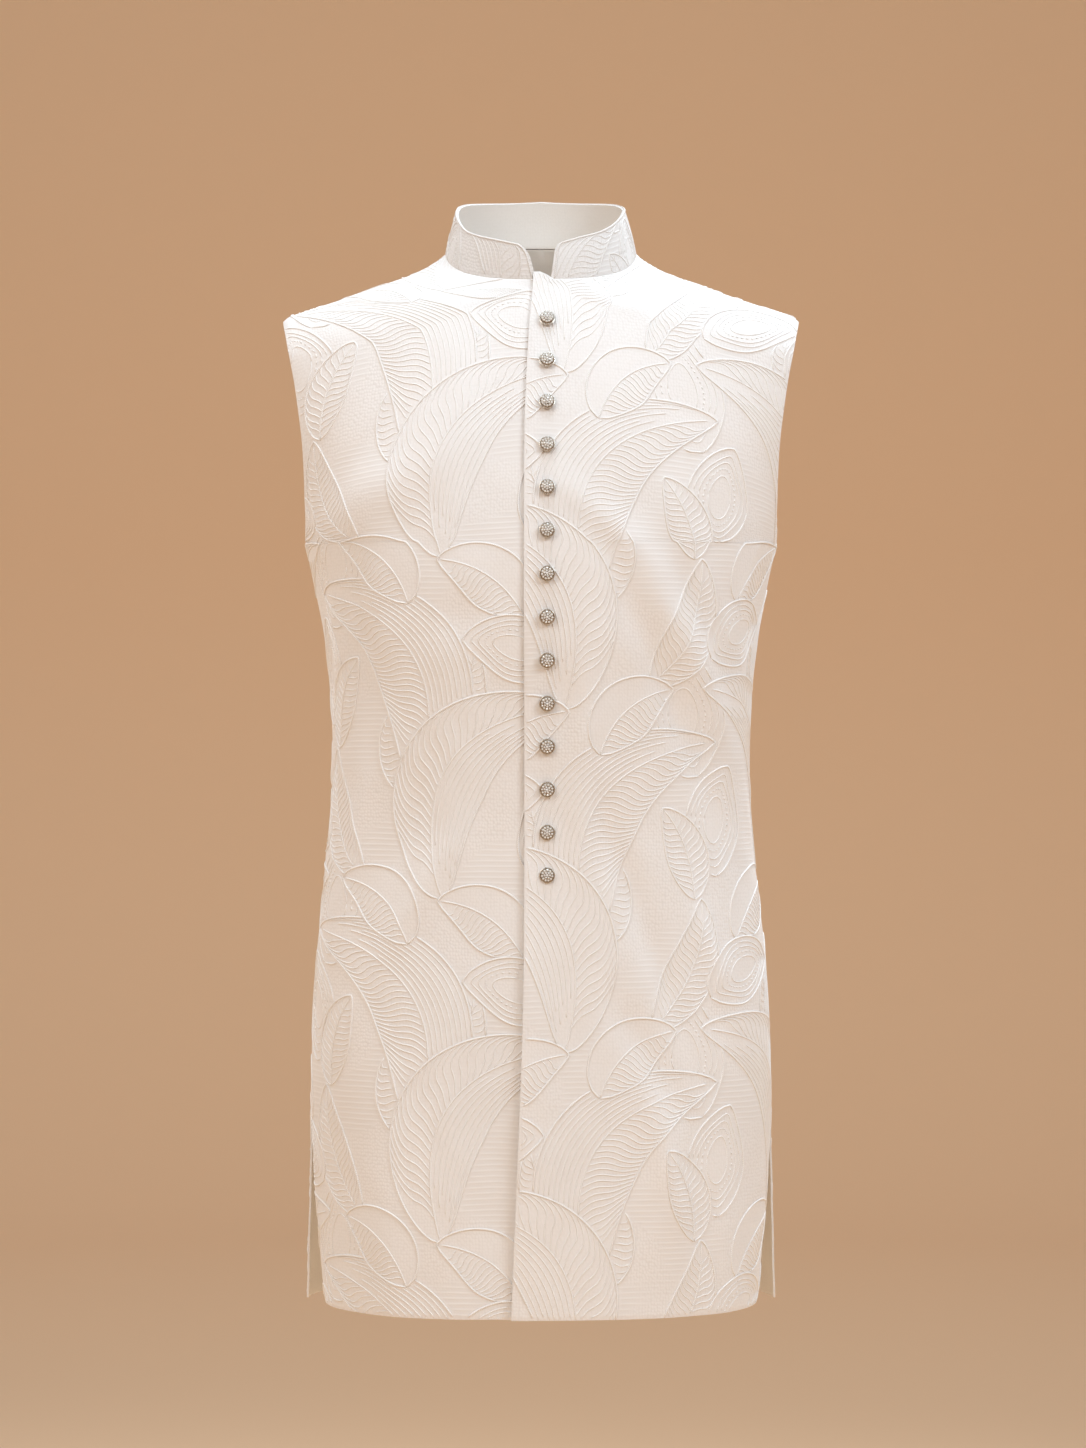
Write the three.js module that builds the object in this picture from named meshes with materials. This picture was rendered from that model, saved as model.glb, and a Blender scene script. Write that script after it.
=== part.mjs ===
// A sleeveless sherwani, hollow and upright as if worn: a knee-free long coat of
// embroidered cloth with a stand collar, a lapped front with a row of metal
// buttons, open armholes and a slit at each side of the hem.
//
// Millimetres. +Z is up, the front faces -Y and the wearer's left is +X.
// The origin lies between the two points where the shoulder seams meet the neck.
import * as THREE from "three";

// Cloth
const CLOTH_THICK = 2.5;
const COLLAR_THICK = 3;
const SEAM_GAP = 0.3;

// Lengths and widths of the cut, as it hangs
const HEM_HEIGHT = -916;
const NECK = { halfWidth: 84, front: 70, back: 64, frontHeight: -26, sideHeight: 4, backHeight: 16, bow: 1.3 };
const SHOULDER = { tipX: 226, tipHeight: -53, bow: 0.75 };
const ARMHOLE_BOTTOM = -255;
const YOKE_HEIGHT = -92;
const YOKE_BOW = 2.2;
const SLIT = { top: -720, frontIn: 14, backOut: 3, openTurn: 2.5, bow: 1.6 };
const HEM_CORNER = 16;
const UNDERLAP_X = 16;
const UNDERLAP_SINK = { depth: 4.6, from: 34, to: 84 };

// The body of the garment as level sections: half its width at the side, how far
// its front and back stand from the shoulder line, and how square its corners are.
const SECTIONS = [
  { height: 16, halfWidth: 240, front: 66, back: 64, square: 2.2 },
  { height: 0, halfWidth: 243, front: 67, back: 73, square: 2.2 },
  { height: -26, halfWidth: 247, front: 70, back: 86, square: 2.2 },
  { height: -53, halfWidth: 250, front: 83, back: 96, square: 2.2 },
  { height: -92, halfWidth: 251, front: 98, back: 106, square: 2.2 },
  { height: -150, halfWidth: 240, front: 114, back: 114, square: 2.2 },
  { height: -187, halfWidth: 227, front: 121, back: 116, square: 2.25 },
  { height: -222, halfWidth: 215.5, front: 126, back: 116, square: 2.3 },
  { height: -255, halfWidth: 207, front: 129, back: 114, square: 2.35 },
  { height: -280, halfWidth: 201, front: 130, back: 112, square: 2.35 },
  { height: -310, halfWidth: 195, front: 129, back: 108, square: 2.35 },
  { height: -340, halfWidth: 190, front: 127, back: 104, square: 2.35 },
  { height: -390, halfWidth: 185, front: 121, back: 96, square: 2.3 },
  { height: -455, halfWidth: 183, front: 116, back: 89, square: 2.3 },
  { height: -500, halfWidth: 185, front: 114, back: 90, square: 2.3 },
  { height: -550, halfWidth: 190, front: 115, back: 97, square: 2.3 },
  { height: -600, halfWidth: 196, front: 117, back: 106, square: 2.3 },
  { height: -660, halfWidth: 200, front: 119, back: 114, square: 2.3 },
  { height: -720, halfWidth: 202, front: 121, back: 118, square: 2.3 },
  { height: -820, halfWidth: 203, front: 124, back: 121, square: 2.3 },
  { height: -916, halfWidth: 204, front: 126, back: 124, square: 2.3 },
];

// How far out the armhole's edge runs, in front and behind.
const ARMHOLE_EDGE = [
  { height: -92, front: 218, back: 219 },
  { height: -116, front: 213, back: 216 },
  { height: -151, front: 206.5, back: 212 },
  { height: -187, front: 202.5, back: 208 },
  { height: -222, front: 203, back: 205 },
  { height: -245, front: 205, back: 205.5 },
  { height: -255, front: 207, back: 207 },
];

// Where the lapped edge of the wearer's left front runs, past the centre.
const LAP_EDGE = [
  { height: -26, x: -6.3 },
  { height: -75, x: -10.5 },
  { height: -165, x: -14 },
  { height: -600, x: -14 },
  { height: -700, x: -16 },
  { height: -916, x: -25 },
];

// The collar's top edge round the neck, by its turn from the centre front.
const COLLAR_TOP = { halfWidth: 74, front: 65, back: 60 };
const COLLAR_TOP_HEIGHT = [
  { turn: 0, height: -3 },
  { turn: 12, height: -1 },
  { turn: 30, height: 6 },
  { turn: 59, height: 23 },
  { turn: 75, height: 34 },
  { turn: 90, height: 42 },
  { turn: 120, height: 51 },
  { turn: 180, height: 57 },
];
const COLLAR_GAP = { centreTurn: 1.45, baseTurn: 4.35, flareTurn: 5, cornerTurn: 6, cornerFrom: 0.55 };
const COLLAR_LEVELS = [0, 0.4, 0.7, 0.88, 1];

// Soft folds: how far round from the centre each lies along the cloth, its
// middle height, its reach across and along, how far it stands out, and its lean.
const FRONT_LEFT_FOLDS = [
  { across: 165, height: -390, wide: 26, long: 95, out: 3.5, lean: -0.25 },
  { across: 108, height: -775, wide: 30, long: 120, out: 4.5, lean: -0.12 },
  { across: 132, height: -830, wide: 16, long: 75, out: -3, lean: -0.05 },
  { across: 222, height: -330, wide: 20, long: 70, out: -3.5, lean: 0.1 },
];
const FRONT_RIGHT_FOLDS = [
  { across: 226, height: -335, wide: 20, long: 85, out: -4, lean: 0.12 },
  { across: 205, height: -560, wide: 26, long: 80, out: 3.5, lean: 0.1 },
  { across: 120, height: -820, wide: 34, long: 110, out: 3, lean: 0.05 },
  { across: 190, height: -800, wide: 28, long: 100, out: -3, lean: 0.08 },
];
const BACK_FOLDS = [
  { across: 60, height: -800, wide: 32, long: 150, out: -4, lean: 0.03 },
  { across: 128, height: -760, wide: 34, long: 140, out: 4, lean: 0.06 },
  { across: 90, height: -470, wide: 60, long: 26, out: 3, lean: 0 },
  { across: 214, height: -340, wide: 22, long: 80, out: -3.5, lean: 0.1 },
];

// Mesh steps
const LOW_ROWS = 18;
const ARMHOLE_ROWS = [-250.5, -243, -232, -216, -195, -168, -138, -112];
const YOKE_ROWS = [0.14, 0.28, 0.42, 0.57, 0.72, 0.87, 1];
const FRONT_COLUMNS = 14;
const BACK_COLUMNS = 12;
const ROW_SAMPLES = 90;
const SIDE_CROWDING = 1.35;

// Buttons
const BUTTON = { standOff: 0.5, count: 14, x: 5.3, topHeight: -63, pitch: 36.6, radius: 7, height: 6.8, shankRadius: 2.7 };
const BUTTON_SIDES = 12;

const radians = THREE.MathUtils.degToRad;
const mix = THREE.MathUtils.lerp;
const QUARTER = Math.PI / 2;

// A smooth curve through one column of a table, in the order of its key.
function columnOf(table, key, column) {
  const rows = [...table].sort((a, b) => a[key] - b[key]);
  const at = rows.map((row) => row[key]);
  const value = rows.map((row) => row[column]);
  const last = rows.length - 1;
  const slope = value.map((_, i) => {
    const [a, b] = [Math.max(i - 1, 0), Math.min(i + 1, last)];
    return (value[b] - value[a]) / (at[b] - at[a]);
  });
  return (place) => {
    const p = THREE.MathUtils.clamp(place, at[0], at[last]);
    let i = 0;
    while (i < last - 1 && p > at[i + 1]) i++;
    const span = at[i + 1] - at[i];
    const s = (p - at[i]) / span;
    const rise = value[i + 1] - value[i];
    const bend = (slope[i] * span - rise) * (1 - s) - (slope[i + 1] * span - rise) * s;
    return value[i] + rise * s + bend * s * (1 - s);
  };
}

const sectionWidth = columnOf(SECTIONS, "height", "halfWidth");
const sectionFront = columnOf(SECTIONS, "height", "front");
const sectionBack = columnOf(SECTIONS, "height", "back");
const sectionSquare = columnOf(SECTIONS, "height", "square");
const armholeFront = columnOf(ARMHOLE_EDGE, "height", "front");
const armholeBack = columnOf(ARMHOLE_EDGE, "height", "back");
const lapEdge = columnOf(LAP_EDGE, "height", "x");
const collarTopHeight = columnOf(COLLAR_TOP_HEIGHT, "turn", "height");

// How far a slit has opened at this height, from 0 at its top to 1 at the hem.
function slitShare(height) {
  return Math.max(0, (SLIT.top - height) / (SLIT.top - HEM_HEIGHT)) ** SLIT.bow;
}

// Half the garment's width at this height, where the front and back part at the slit.
function halfWidthAt(height, isBack) {
  return sectionWidth(height) + slitShare(height) * (isBack ? SLIT.backOut : -SLIT.frontIn);
}

// A point of a section, by its turn from the centre line of the front or back.
function sectionPoint(turn, height, isBack) {
  const power = 2 / sectionSquare(height);
  const across = Math.sign(Math.sin(turn)) * Math.abs(Math.sin(turn)) ** power;
  const deep = Math.abs(Math.cos(turn)) ** power;
  const y = isBack ? sectionBack(height) * deep : -sectionFront(height) * deep;
  return new THREE.Vector3(halfWidthAt(height, isBack) * across, y, height);
}

// The turn at which a section reaches this x.
function turnAtX(x, height, isBack) {
  const share = Math.min(1, Math.abs(x) / halfWidthAt(height, isBack));
  return Math.sign(x) * Math.asin(share ** (sectionSquare(height) / 2));
}

// A point of the neck seam, by its turn from the centre front.
function neckPoint(turn) {
  const c = Math.cos(turn);
  const x = NECK.halfWidth * Math.sin(turn);
  if (c >= 0) {
    const rise = (NECK.sideHeight - NECK.frontHeight) * (1 - c) ** NECK.bow;
    return new THREE.Vector3(x, -NECK.front * c, NECK.frontHeight + rise);
  }
  const rise = (NECK.backHeight - NECK.sideHeight) * -c;
  return new THREE.Vector3(x, -NECK.back * c, NECK.sideHeight + rise);
}

// The shoulder seam, from the neck at 0 to the tip at 1.
function shoulderPoint(share) {
  const drop = (NECK.sideHeight - SHOULDER.tipHeight) * share ** SHOULDER.bow;
  return new THREE.Vector3(mix(NECK.halfWidth, SHOULDER.tipX, share), 0, NECK.sideHeight - drop);
}

// The same number of points along each line of points, closer where it turns
// round the side.
function spacedOut(points, columns) {
  const line = new THREE.CatmullRomCurve3(points, false, "centripetal");
  line.arcLengthDivisions = points.length * 2;
  const found = [];
  for (let i = 0; i <= columns; i++) found.push(line.getPointAt(1 - (1 - i / columns) ** SIDE_CROWDING));
  return found;
}

// The heights at which rows start at the centre line and end at the side.
function rowHeights(centreTop) {
  const rows = [];
  for (let i = 0; i <= LOW_ROWS; i++) {
    const height = mix(HEM_HEIGHT, ARMHOLE_BOTTOM, i / LOW_ROWS);
    rows.push({ centre: height, side: height, bow: 1 });
  }
  for (const side of [...ARMHOLE_ROWS, YOKE_HEIGHT]) {
    const share = (side - ARMHOLE_BOTTOM) / (YOKE_HEIGHT - ARMHOLE_BOTTOM);
    rows.push({ centre: mix(ARMHOLE_BOTTOM, centreTop, share), side, bow: mix(1, YOKE_BOW, share) });
  }
  return rows;
}

// One row of cloth round the body, as close points from its centre edge to its side.
function rowLine(row, edgeX, isBack) {
  const start = turnAtX(edgeX, row.centre, isBack);
  const edge = isBack ? armholeBack : armholeFront;
  const inArmhole = row.side > ARMHOLE_BOTTOM;
  const open = radians(SLIT.openTurn) * slitShare(row.side);
  const end = inArmhole ? turnAtX(edge(row.side), row.side, isBack) : QUARTER - open;
  const points = [];
  for (let i = 0; i <= ROW_SAMPLES; i++) {
    const t = i / ROW_SAMPLES;
    const height = mix(row.centre, row.side, 1 - (1 - t) ** row.bow);
    points.push(sectionPoint(mix(start, end, t), height, isBack));
  }
  return points;
}

// A row over the shoulder, between the yoke row at 0 and the shoulder seam at 1.
function yokeLine(base, share, startTurn, isBack) {
  const round = QUARTER * share;
  const neckTurn = mix(startTurn, QUARTER, share);
  const neck = neckPoint(isBack ? Math.PI - neckTurn : neckTurn);
  const flatRise = (1 - Math.cos(round)) ** (isBack ? 1 : NECK.bow);
  const line = base.map((low, i) => {
    const t = i / (base.length - 1);
    const high = shoulderPoint(t);
    const rise = mix(flatRise, Math.sin(round), THREE.MathUtils.smoothstep(t, 0, 0.4));
    const x = mix(low.x, high.x, Math.sin(round));
    return new THREE.Vector3(x, low.y * Math.cos(round), mix(low.z, high.z, rise));
  });
  const toNeck = neck.clone().sub(line[0]);
  return line.map((point, i) => point.addScaledVector(toNeck, (1 - i / (base.length - 1)) ** 4));
}

// The distance that a soft fold moves the cloth outwards at a place.
function foldOut(folds, across, height) {
  return folds.reduce((sum, f) => {
    const along = (height - f.height) / f.long;
    const aside = (across - f.across - f.lean * (height - f.height)) / f.wide;
    return sum + f.out * Math.exp(-along * along - aside * aside);
  }, 0);
}

// The rows of one panel, from hem to shoulder seam. Its points run from the
// centre edge to the side.
function panelRows({ centreTop, edgeX, isBack, columns, folds }) {
  const lines = rowHeights(centreTop).map((row) => rowLine(row, edgeX(row.centre), isBack));
  const base = lines[lines.length - 1];
  const startTurn = Math.asin(edgeX(centreTop) / NECK.halfWidth);
  for (const share of YOKE_ROWS) lines.push(yokeLine(base, share, startTurn, isBack));
  const rows = lines.map((line) => spacedOut(line, columns));
  for (const row of rows) {
    let across = row[0].x;
    const moves = row.map((point, i) => {
      if (i) across += point.distanceTo(row[i - 1]);
      const outward = new THREE.Vector3(point.x / 200, point.y / 120, 0).normalize();
      return outward.multiplyScalar(foldOut(folds, across, point.z));
    });
    row.forEach((point, i) => point.add(moves[i]));
  }
  return rows;
}

// Rounds the lower side corner of a front panel.
function roundHemCorner(rows) {
  const hem = rows[0];
  const side = hem[hem.length - 1];
  hem.forEach((point) => {
    const near = Math.max(0, HEM_CORNER - point.distanceTo(side));
    point.z += HEM_CORNER - Math.sqrt(HEM_CORNER ** 2 - near ** 2);
  });
}

// Keeps a panel's side and shoulder edges half a seam gap from the seam line.
function trimSeams(rows, isBack) {
  const shift = ((isBack ? 1 : -1) * SEAM_GAP) / 2;
  const top = rows[rows.length - 1];
  top.forEach((point) => (point.y = shift));
  rows.forEach((row) => {
    const side = row[row.length - 1];
    if (Math.abs(side.y) < Math.abs(shift)) side.y = shift;
  });
}

// A closed wall of cloth from the points and four-sided faces of its outer side.
// Points on a seam keep a normal with no part across it, so that panels meet flush:
// flush names, for each axis, the points whose normal has no part along it.
function clothWall(points, faces, thick, flush) {
  const normals = points.map(() => new THREE.Vector3());
  for (const face of faces) {
    const [a, b, c, d] = face.map((i) => points[i]);
    const normal = c.clone().sub(a).cross(d.clone().sub(b));
    face.forEach((i) => normals[i].add(normal));
  }
  normals.forEach((normal, i) => {
    for (const [axis, members] of Object.entries(flush)) {
      if (members.has(i)) normal[axis] = 0;
    }
    normal.normalize();
  });
  const inner = points.map((point, i) => point.clone().addScaledVector(normals[i], -thick));
  const n = points.length;
  const index = [];
  const edges = new Map();
  for (const face of faces) {
    const [a, b, c, d] = face;
    index.push(a, b, c, a, c, d);
    index.push(a + n, c + n, b + n, a + n, d + n, c + n);
    face.forEach((from, i) => {
      const to = face[(i + 1) % 4];
      if (!edges.delete(`${to} ${from}`)) edges.set(`${from} ${to}`, [from, to]);
    });
  }
  for (const [from, to] of edges.values()) index.push(from, from + n, to + n, from, to + n, to);
  const geometry = new THREE.BufferGeometry().setFromPoints([...points, ...inner]);
  geometry.setIndex(index);
  geometry.computeVertexNormals();
  return geometry;
}

// The faces of a grid of rows, turned to face out on the +X side.
function gridFaces(rowCount, columnCount, at) {
  const faces = [];
  for (let r = 0; r + 1 < rowCount; r++) {
    for (let c = 0; c + 1 < columnCount; c++) {
      faces.push([at(r, c), at(r, c + 1), at(r + 1, c + 1), at(r + 1, c)]);
    }
  }
  return faces;
}

// The points of a panel's side edge, below the armhole, and of its shoulder seam.
function seamIndices(rows, at) {
  const found = new Set();
  rows.forEach((row, r) => {
    const side = row.length - 1;
    if (r <= LOW_ROWS) found.add(at(r, side));
    if (r === rows.length - 1) row.forEach((_, c) => found.add(at(r, c)));
  });
  return found;
}

function mirrored(rows) {
  return rows.map((row) => row.map((p) => new THREE.Vector3(-p.x, p.y, p.z)));
}

// The wearer's left front laps over the right one and carries the buttons.
function frontLeftGeometry() {
  const rows = panelRows({
    centreTop: NECK.frontHeight,
    edgeX: lapEdge,
    isBack: false,
    columns: FRONT_COLUMNS,
    folds: FRONT_LEFT_FOLDS,
  });
  roundHemCorner(rows);
  trimSeams(rows, false);
  const at = (r, c) => r * (FRONT_COLUMNS + 1) + c;
  const faces = gridFaces(rows.length, FRONT_COLUMNS + 1, at);
  return clothWall(rows.flat(), faces, CLOTH_THICK, { y: seamIndices(rows, at) });
}

// How deep the right front lies under the left one at this distance from the centre.
function underlapSink(x) {
  const { depth, from, to } = UNDERLAP_SINK;
  return depth * (1 - THREE.MathUtils.smoothstep(x, from, to));
}

// The wearer's right front runs on under the left one, past the centre.
function frontRightGeometry() {
  const rows = panelRows({
    centreTop: NECK.frontHeight,
    edgeX: () => -UNDERLAP_X,
    isBack: false,
    columns: FRONT_COLUMNS,
    folds: FRONT_RIGHT_FOLDS,
  });
  rows.flat().forEach((point) => (point.y += point.y < 0 ? underlapSink(point.x) : 0));
  roundHemCorner(rows);
  trimSeams(rows, false);
  const at = (r, c) => r * (FRONT_COLUMNS + 1) + c;
  const faces = gridFaces(rows.length, FRONT_COLUMNS + 1, at).map((face) => face.reverse());
  return clothWall(mirrored(rows).flat(), faces, CLOTH_THICK, { y: seamIndices(rows, at) });
}

// The back is one panel. Its halves share the centre line up to the neck.
function backGeometry() {
  const rows = panelRows({
    centreTop: NECK.backHeight,
    edgeX: () => 0,
    isBack: true,
    columns: BACK_COLUMNS,
    folds: BACK_FOLDS,
  });
  trimSeams(rows, true);
  const neckRow = rows.length - 1 - YOKE_ROWS.length;
  const count = rows.length * (BACK_COLUMNS + 1);
  const at = (r, c) => r * (BACK_COLUMNS + 1) + c;
  const atMirror = (r, c) => (c === 0 && r <= neckRow ? at(r, 0) : count + at(r, c));
  const points = [...rows.flat(), ...mirrored(rows).flat()];
  const faces = [
    ...gridFaces(rows.length, BACK_COLUMNS + 1, at).map((face) => face.reverse()),
    ...gridFaces(rows.length, BACK_COLUMNS + 1, atMirror),
  ];
  const seams = new Set([...seamIndices(rows, at), ...seamIndices(rows, atMirror)]);
  const centre = new Set(rows.slice(0, neckRow + 1).map((_, r) => at(r, 0)));
  const used = [...new Set(faces.flat())].sort((a, b) => a - b);
  const place = new Map(used.map((from, to) => [from, to]));
  const moved = (set) => new Set([...set].map((i) => place.get(i)));
  const kept = used.map((i) => points[i]);
  const renumbered = faces.map((face) => face.map((i) => place.get(i)));
  return clothWall(kept, renumbered, CLOTH_THICK, { y: moved(seams), x: moved(centre) });
}

// Half the collar's front opening at a level, as a turn round the neck.
function collarOpening(level) {
  const { baseTurn, flareTurn, cornerTurn, cornerFrom } = COLLAR_GAP;
  const corner = Math.max(0, (level - cornerFrom) / (1 - cornerFrom));
  return baseTurn + flareTurn * level + cornerTurn * (1 - Math.sqrt(1 - corner * corner));
}

// The turns round the neck at which the panels' rows meet the neck seam, going
// from the collar's end on the left front, round the back, to its other end.
function collarTurns() {
  const { centreTurn, baseTurn } = COLLAR_GAP;
  const ends = [centreTurn + baseTurn, 360 + centreTurn - baseTurn];
  const along = (edge) => YOKE_ROWS.map((share) => THREE.MathUtils.radToDeg(mix(Math.asin(edge), QUARTER, share)));
  const left = along(lapEdge(NECK.frontHeight) / NECK.halfWidth);
  const right = along(-UNDERLAP_X / NECK.halfWidth).map((turn) => 360 - turn);
  const back = along(0).map((turn) => 180 - turn);
  const all = [...ends, ...left, ...right, ...back, 180, ...back.map((turn) => 360 - turn)];
  const inOrder = [...new Set(all.map((turn) => Math.round(turn * 1e6) / 1e6))].sort((a, b) => a - b);
  return inOrder.filter((turn) => turn >= ends[0] && turn <= ends[1]);
}

// The stand collar: one band that leans in a little, open at the front.
function collarGeometry() {
  const turns = collarTurns();
  const [first, last] = [turns[0], turns[turns.length - 1]];
  const rows = COLLAR_LEVELS.map((level) => {
    const more = collarOpening(level) - COLLAR_GAP.baseTurn;
    const row = [];
    for (const baseTurn of turns) {
      const turn = radians(mix(first + more, last - more, (baseTurn - first) / (last - first)));
      const base = neckPoint(turn);
      if (base.x < 0 && base.y < 0) base.y += underlapSink(-base.x);
      base.z += SEAM_GAP;
      const c = Math.cos(turn);
      const fromFront = THREE.MathUtils.radToDeg(Math.acos(c));
      const y = -(c > 0 ? COLLAR_TOP.front : COLLAR_TOP.back) * c;
      const top = new THREE.Vector3(COLLAR_TOP.halfWidth * Math.sin(turn), y, collarTopHeight(fromFront));
      row.push(base.lerp(top, level));
    }
    return row;
  });
  const at = (r, c) => r * turns.length + c;
  const faces = gridFaces(rows.length, turns.length, at);
  const baseRow = new Set(turns.map((_, c) => at(0, c)));
  return clothWall(rows.flat(), faces, COLLAR_THICK, { z: baseRow });
}

// A domed metal button on a short shank, with a raised rim.
function buttonGeometry() {
  const { radius, height, shankRadius } = BUTTON;
  const under = height * 0.2;
  const rim = height * 0.42;
  const profile = [
    new THREE.Vector2(0, 0),
    new THREE.Vector2(shankRadius, 0),
    new THREE.Vector2(shankRadius, under),
    new THREE.Vector2(radius * 0.86, under),
    new THREE.Vector2(radius, rim * 0.75),
    new THREE.Vector2(radius * 0.95, rim),
    new THREE.Vector2(radius * 0.82, rim * 1.3),
    new THREE.Vector2(radius * 0.5, height * 0.9),
    new THREE.Vector2(0, height),
  ];
  return new THREE.LatheGeometry(profile, BUTTON_SIDES).rotateX(QUARTER);
}

// Stands a button on the outside of the left front.
function placeButton(mesh, height) {
  const turn = turnAtX(BUTTON.x, height, false);
  const here = sectionPoint(turn, height, false);
  const step = 10;
  const above = sectionPoint(turn, height + step, false);
  const beside = sectionPoint(turnAtX(BUTTON.x + step, height, false), height, false);
  const normal = beside.sub(here).cross(above.sub(here)).normalize();
  mesh.quaternion.setFromUnitVectors(new THREE.Vector3(0, 0, 1), normal);
  mesh.position.copy(here).addScaledVector(normal, BUTTON.standOff);
}

const ivoryCloth = new THREE.MeshStandardMaterial({ color: 0xe9dfd3, roughness: 0.8, metalness: 0 });
const agedSilver = new THREE.MeshStandardMaterial({ color: 0x9c9184, roughness: 0.35, metalness: 0.9 });

const sherwani = new THREE.Group();

function addPiece(name, geometry, material) {
  const mesh = new THREE.Mesh(geometry, material);
  mesh.name = name;
  sherwani.add(mesh);
  return mesh;
}

addPiece("front_left", frontLeftGeometry(), ivoryCloth);
addPiece("front_right", frontRightGeometry(), ivoryCloth);
addPiece("back", backGeometry(), ivoryCloth);
addPiece("collar", collarGeometry(), ivoryCloth);

const buttonShape = buttonGeometry();
for (let i = 0; i < BUTTON.count; i++) {
  const mesh = addPiece(`button_${String(i + 1).padStart(2, "0")}`, buttonShape, agedSilver);
  placeButton(mesh, BUTTON.topHeight - i * BUTTON.pitch);
}

export default sherwani;
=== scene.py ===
import math

import bmesh
import bpy
import numpy as np
from mathutils import Matrix, Vector
from mathutils.bvhtree import BVHTree
from mathutils.geometry import barycentric_transform


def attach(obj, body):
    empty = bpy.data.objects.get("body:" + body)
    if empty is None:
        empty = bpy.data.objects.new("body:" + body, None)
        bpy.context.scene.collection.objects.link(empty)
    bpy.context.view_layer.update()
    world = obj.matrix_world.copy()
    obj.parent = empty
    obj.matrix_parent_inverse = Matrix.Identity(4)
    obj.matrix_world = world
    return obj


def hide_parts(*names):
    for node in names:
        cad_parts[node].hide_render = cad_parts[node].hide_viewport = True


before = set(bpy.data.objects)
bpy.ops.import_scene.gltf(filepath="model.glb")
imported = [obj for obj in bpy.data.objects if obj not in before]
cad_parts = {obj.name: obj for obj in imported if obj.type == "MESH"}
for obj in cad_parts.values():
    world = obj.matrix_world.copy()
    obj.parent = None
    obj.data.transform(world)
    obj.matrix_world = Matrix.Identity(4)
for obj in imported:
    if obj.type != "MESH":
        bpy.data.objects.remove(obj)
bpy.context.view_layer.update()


# Camera
# It stands level, straight in front of the garment and a little above its
# middle, far enough away that the shoulders and hem keep their true widths.
camera_data = bpy.data.cameras.new("front_camera")
camera_data.sensor_width = 36
camera_data.lens = 96
camera_data.clip_end = 60
camera = bpy.data.objects.new("front_camera", camera_data)
camera.location = (0.0018, -3.4, -0.410)
camera.rotation_euler = (math.radians(90), 0, 0)
bpy.context.scene.collection.objects.link(camera)
bpy.context.scene.camera = camera
bpy.context.scene.view_settings.view_transform = "Standard"


# Front of the wearer's left side
# One panel of ivory cloth, cut with the neckline, shoulder and armhole in its
# upper edge. It laps over the other front and hangs open at the side below.
MM = 0.001
HEM_HEIGHT = -916.0
SEAM_SHIFT = 0.15
NECK_HALF_WIDTH = 84.0
NECK_FRONT = 70.0
NECK_BACK = 64.0
NECK_FRONT_HEIGHT = -26.0
NECK_SIDE_HEIGHT = 4.0
NECK_BACK_HEIGHT = 16.0
NECK_BOW = 1.3
SHOULDER_TIP_X = 226.0
SHOULDER_TIP_HEIGHT = -53.0
SHOULDER_BOW = 0.75
ARMHOLE_BOTTOM = -255.0
YOKE_HEIGHT = -92.0
YOKE_BOW = 2.2
YOKE_TILT = math.radians(16)
TIP_DROOP = 5.0
SLIT_TOP = -720.0
SLIT_FRONT_IN = 14.0
SLIT_BACK_OUT = 3.0
SLIT_OPEN_TURN = 2.5
SLIT_BOW = 1.6
HEM_CORNER = 16.0
SIDE_CROWDING = 1.35
WALL_THICK = 1.7

# height, half width, front, back, square
SECTIONS = [
    (16, 240, 66, 64, 2.2),
    (0, 243, 67, 73, 2.2),
    (-26, 247, 70, 86, 2.2),
    (-53, 250, 83, 96, 2.2),
    (-92, 251, 98, 106, 2.2),
    (-150, 240, 114, 114, 2.2),
    (-187, 227, 121, 116, 2.25),
    (-222, 215.5, 126, 116, 2.3),
    (-255, 207, 129, 114, 2.35),
    (-280, 201, 130, 112, 2.35),
    (-310, 195, 129, 108, 2.35),
    (-340, 190, 127, 104, 2.35),
    (-390, 185, 121, 96, 2.3),
    (-455, 183, 116, 89, 2.3),
    (-500, 185, 114, 90, 2.3),
    (-550, 190, 115, 97, 2.3),
    (-600, 196, 117, 106, 2.3),
    (-660, 200, 119, 114, 2.3),
    (-720, 202, 121, 118, 2.3),
    (-820, 203, 124, 121, 2.3),
    (-916, 204, 126, 124, 2.3),
]

# height, front, back
ARMHOLE_EDGE = [
    (-92, 218, 219),
    (-116, 213.5, 216.5),
    (-151, 208.5, 213),
    (-187, 205.5, 210.5),
    (-222, 205.5, 208.6),
    (-245, 206.6, 207.4),
    (-255, 207, 207),
]

# height, x
LAP_EDGE = [
    (-26, -6.3),
    (-75, -10.5),
    (-165, -14),
    (-600, -14),
    (-700, -16),
    (-916, -25),
]

# across, height, wide, long, out, lean
FRONT_LEFT_FOLDS = [
    (165, -390, 26, 95, 3.5, -0.25),
    (108, -775, 30, 120, 4.5, -0.12),
    (132, -830, 16, 75, -3, -0.05),
    (222, -330, 20, 70, -3.5, 0.1),
    (190, -300, 9, 46, 1.2, 0.35),
    (206, -285, 6, 38, -0.9, 0.3),
    (205, -425, 7, 40, 1.0, -0.4),
    (188, -450, 9, 60, -0.9, -0.3),
    (232, -470, 8, 22, 1.0, -0.9),
    (56, -238, 18, 38, 3.0, -1.0),
    (127, -347, 16, 85, 5.0, -0.55),
    (106, -372, 14, 100, -4.2, -0.44),
    (133, -300, 13, 62, -3.2, -0.5),
    (36, -430, 16, 110, 5.4, 0.02),
    (84, -570, 14, 90, -5.2, -0.38),
    (90, -690, 17, 44, -4.8, -0.5),
    (147, -602, 16, 55, 3.4, -0.5),
    (-14, -700, 24, 180, 7.0, 0.03),
    (112, -800, 13, 70, 3.6, -0.24),
    (170, -880, 18, 70, 2.2, 0.05),
]


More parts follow.
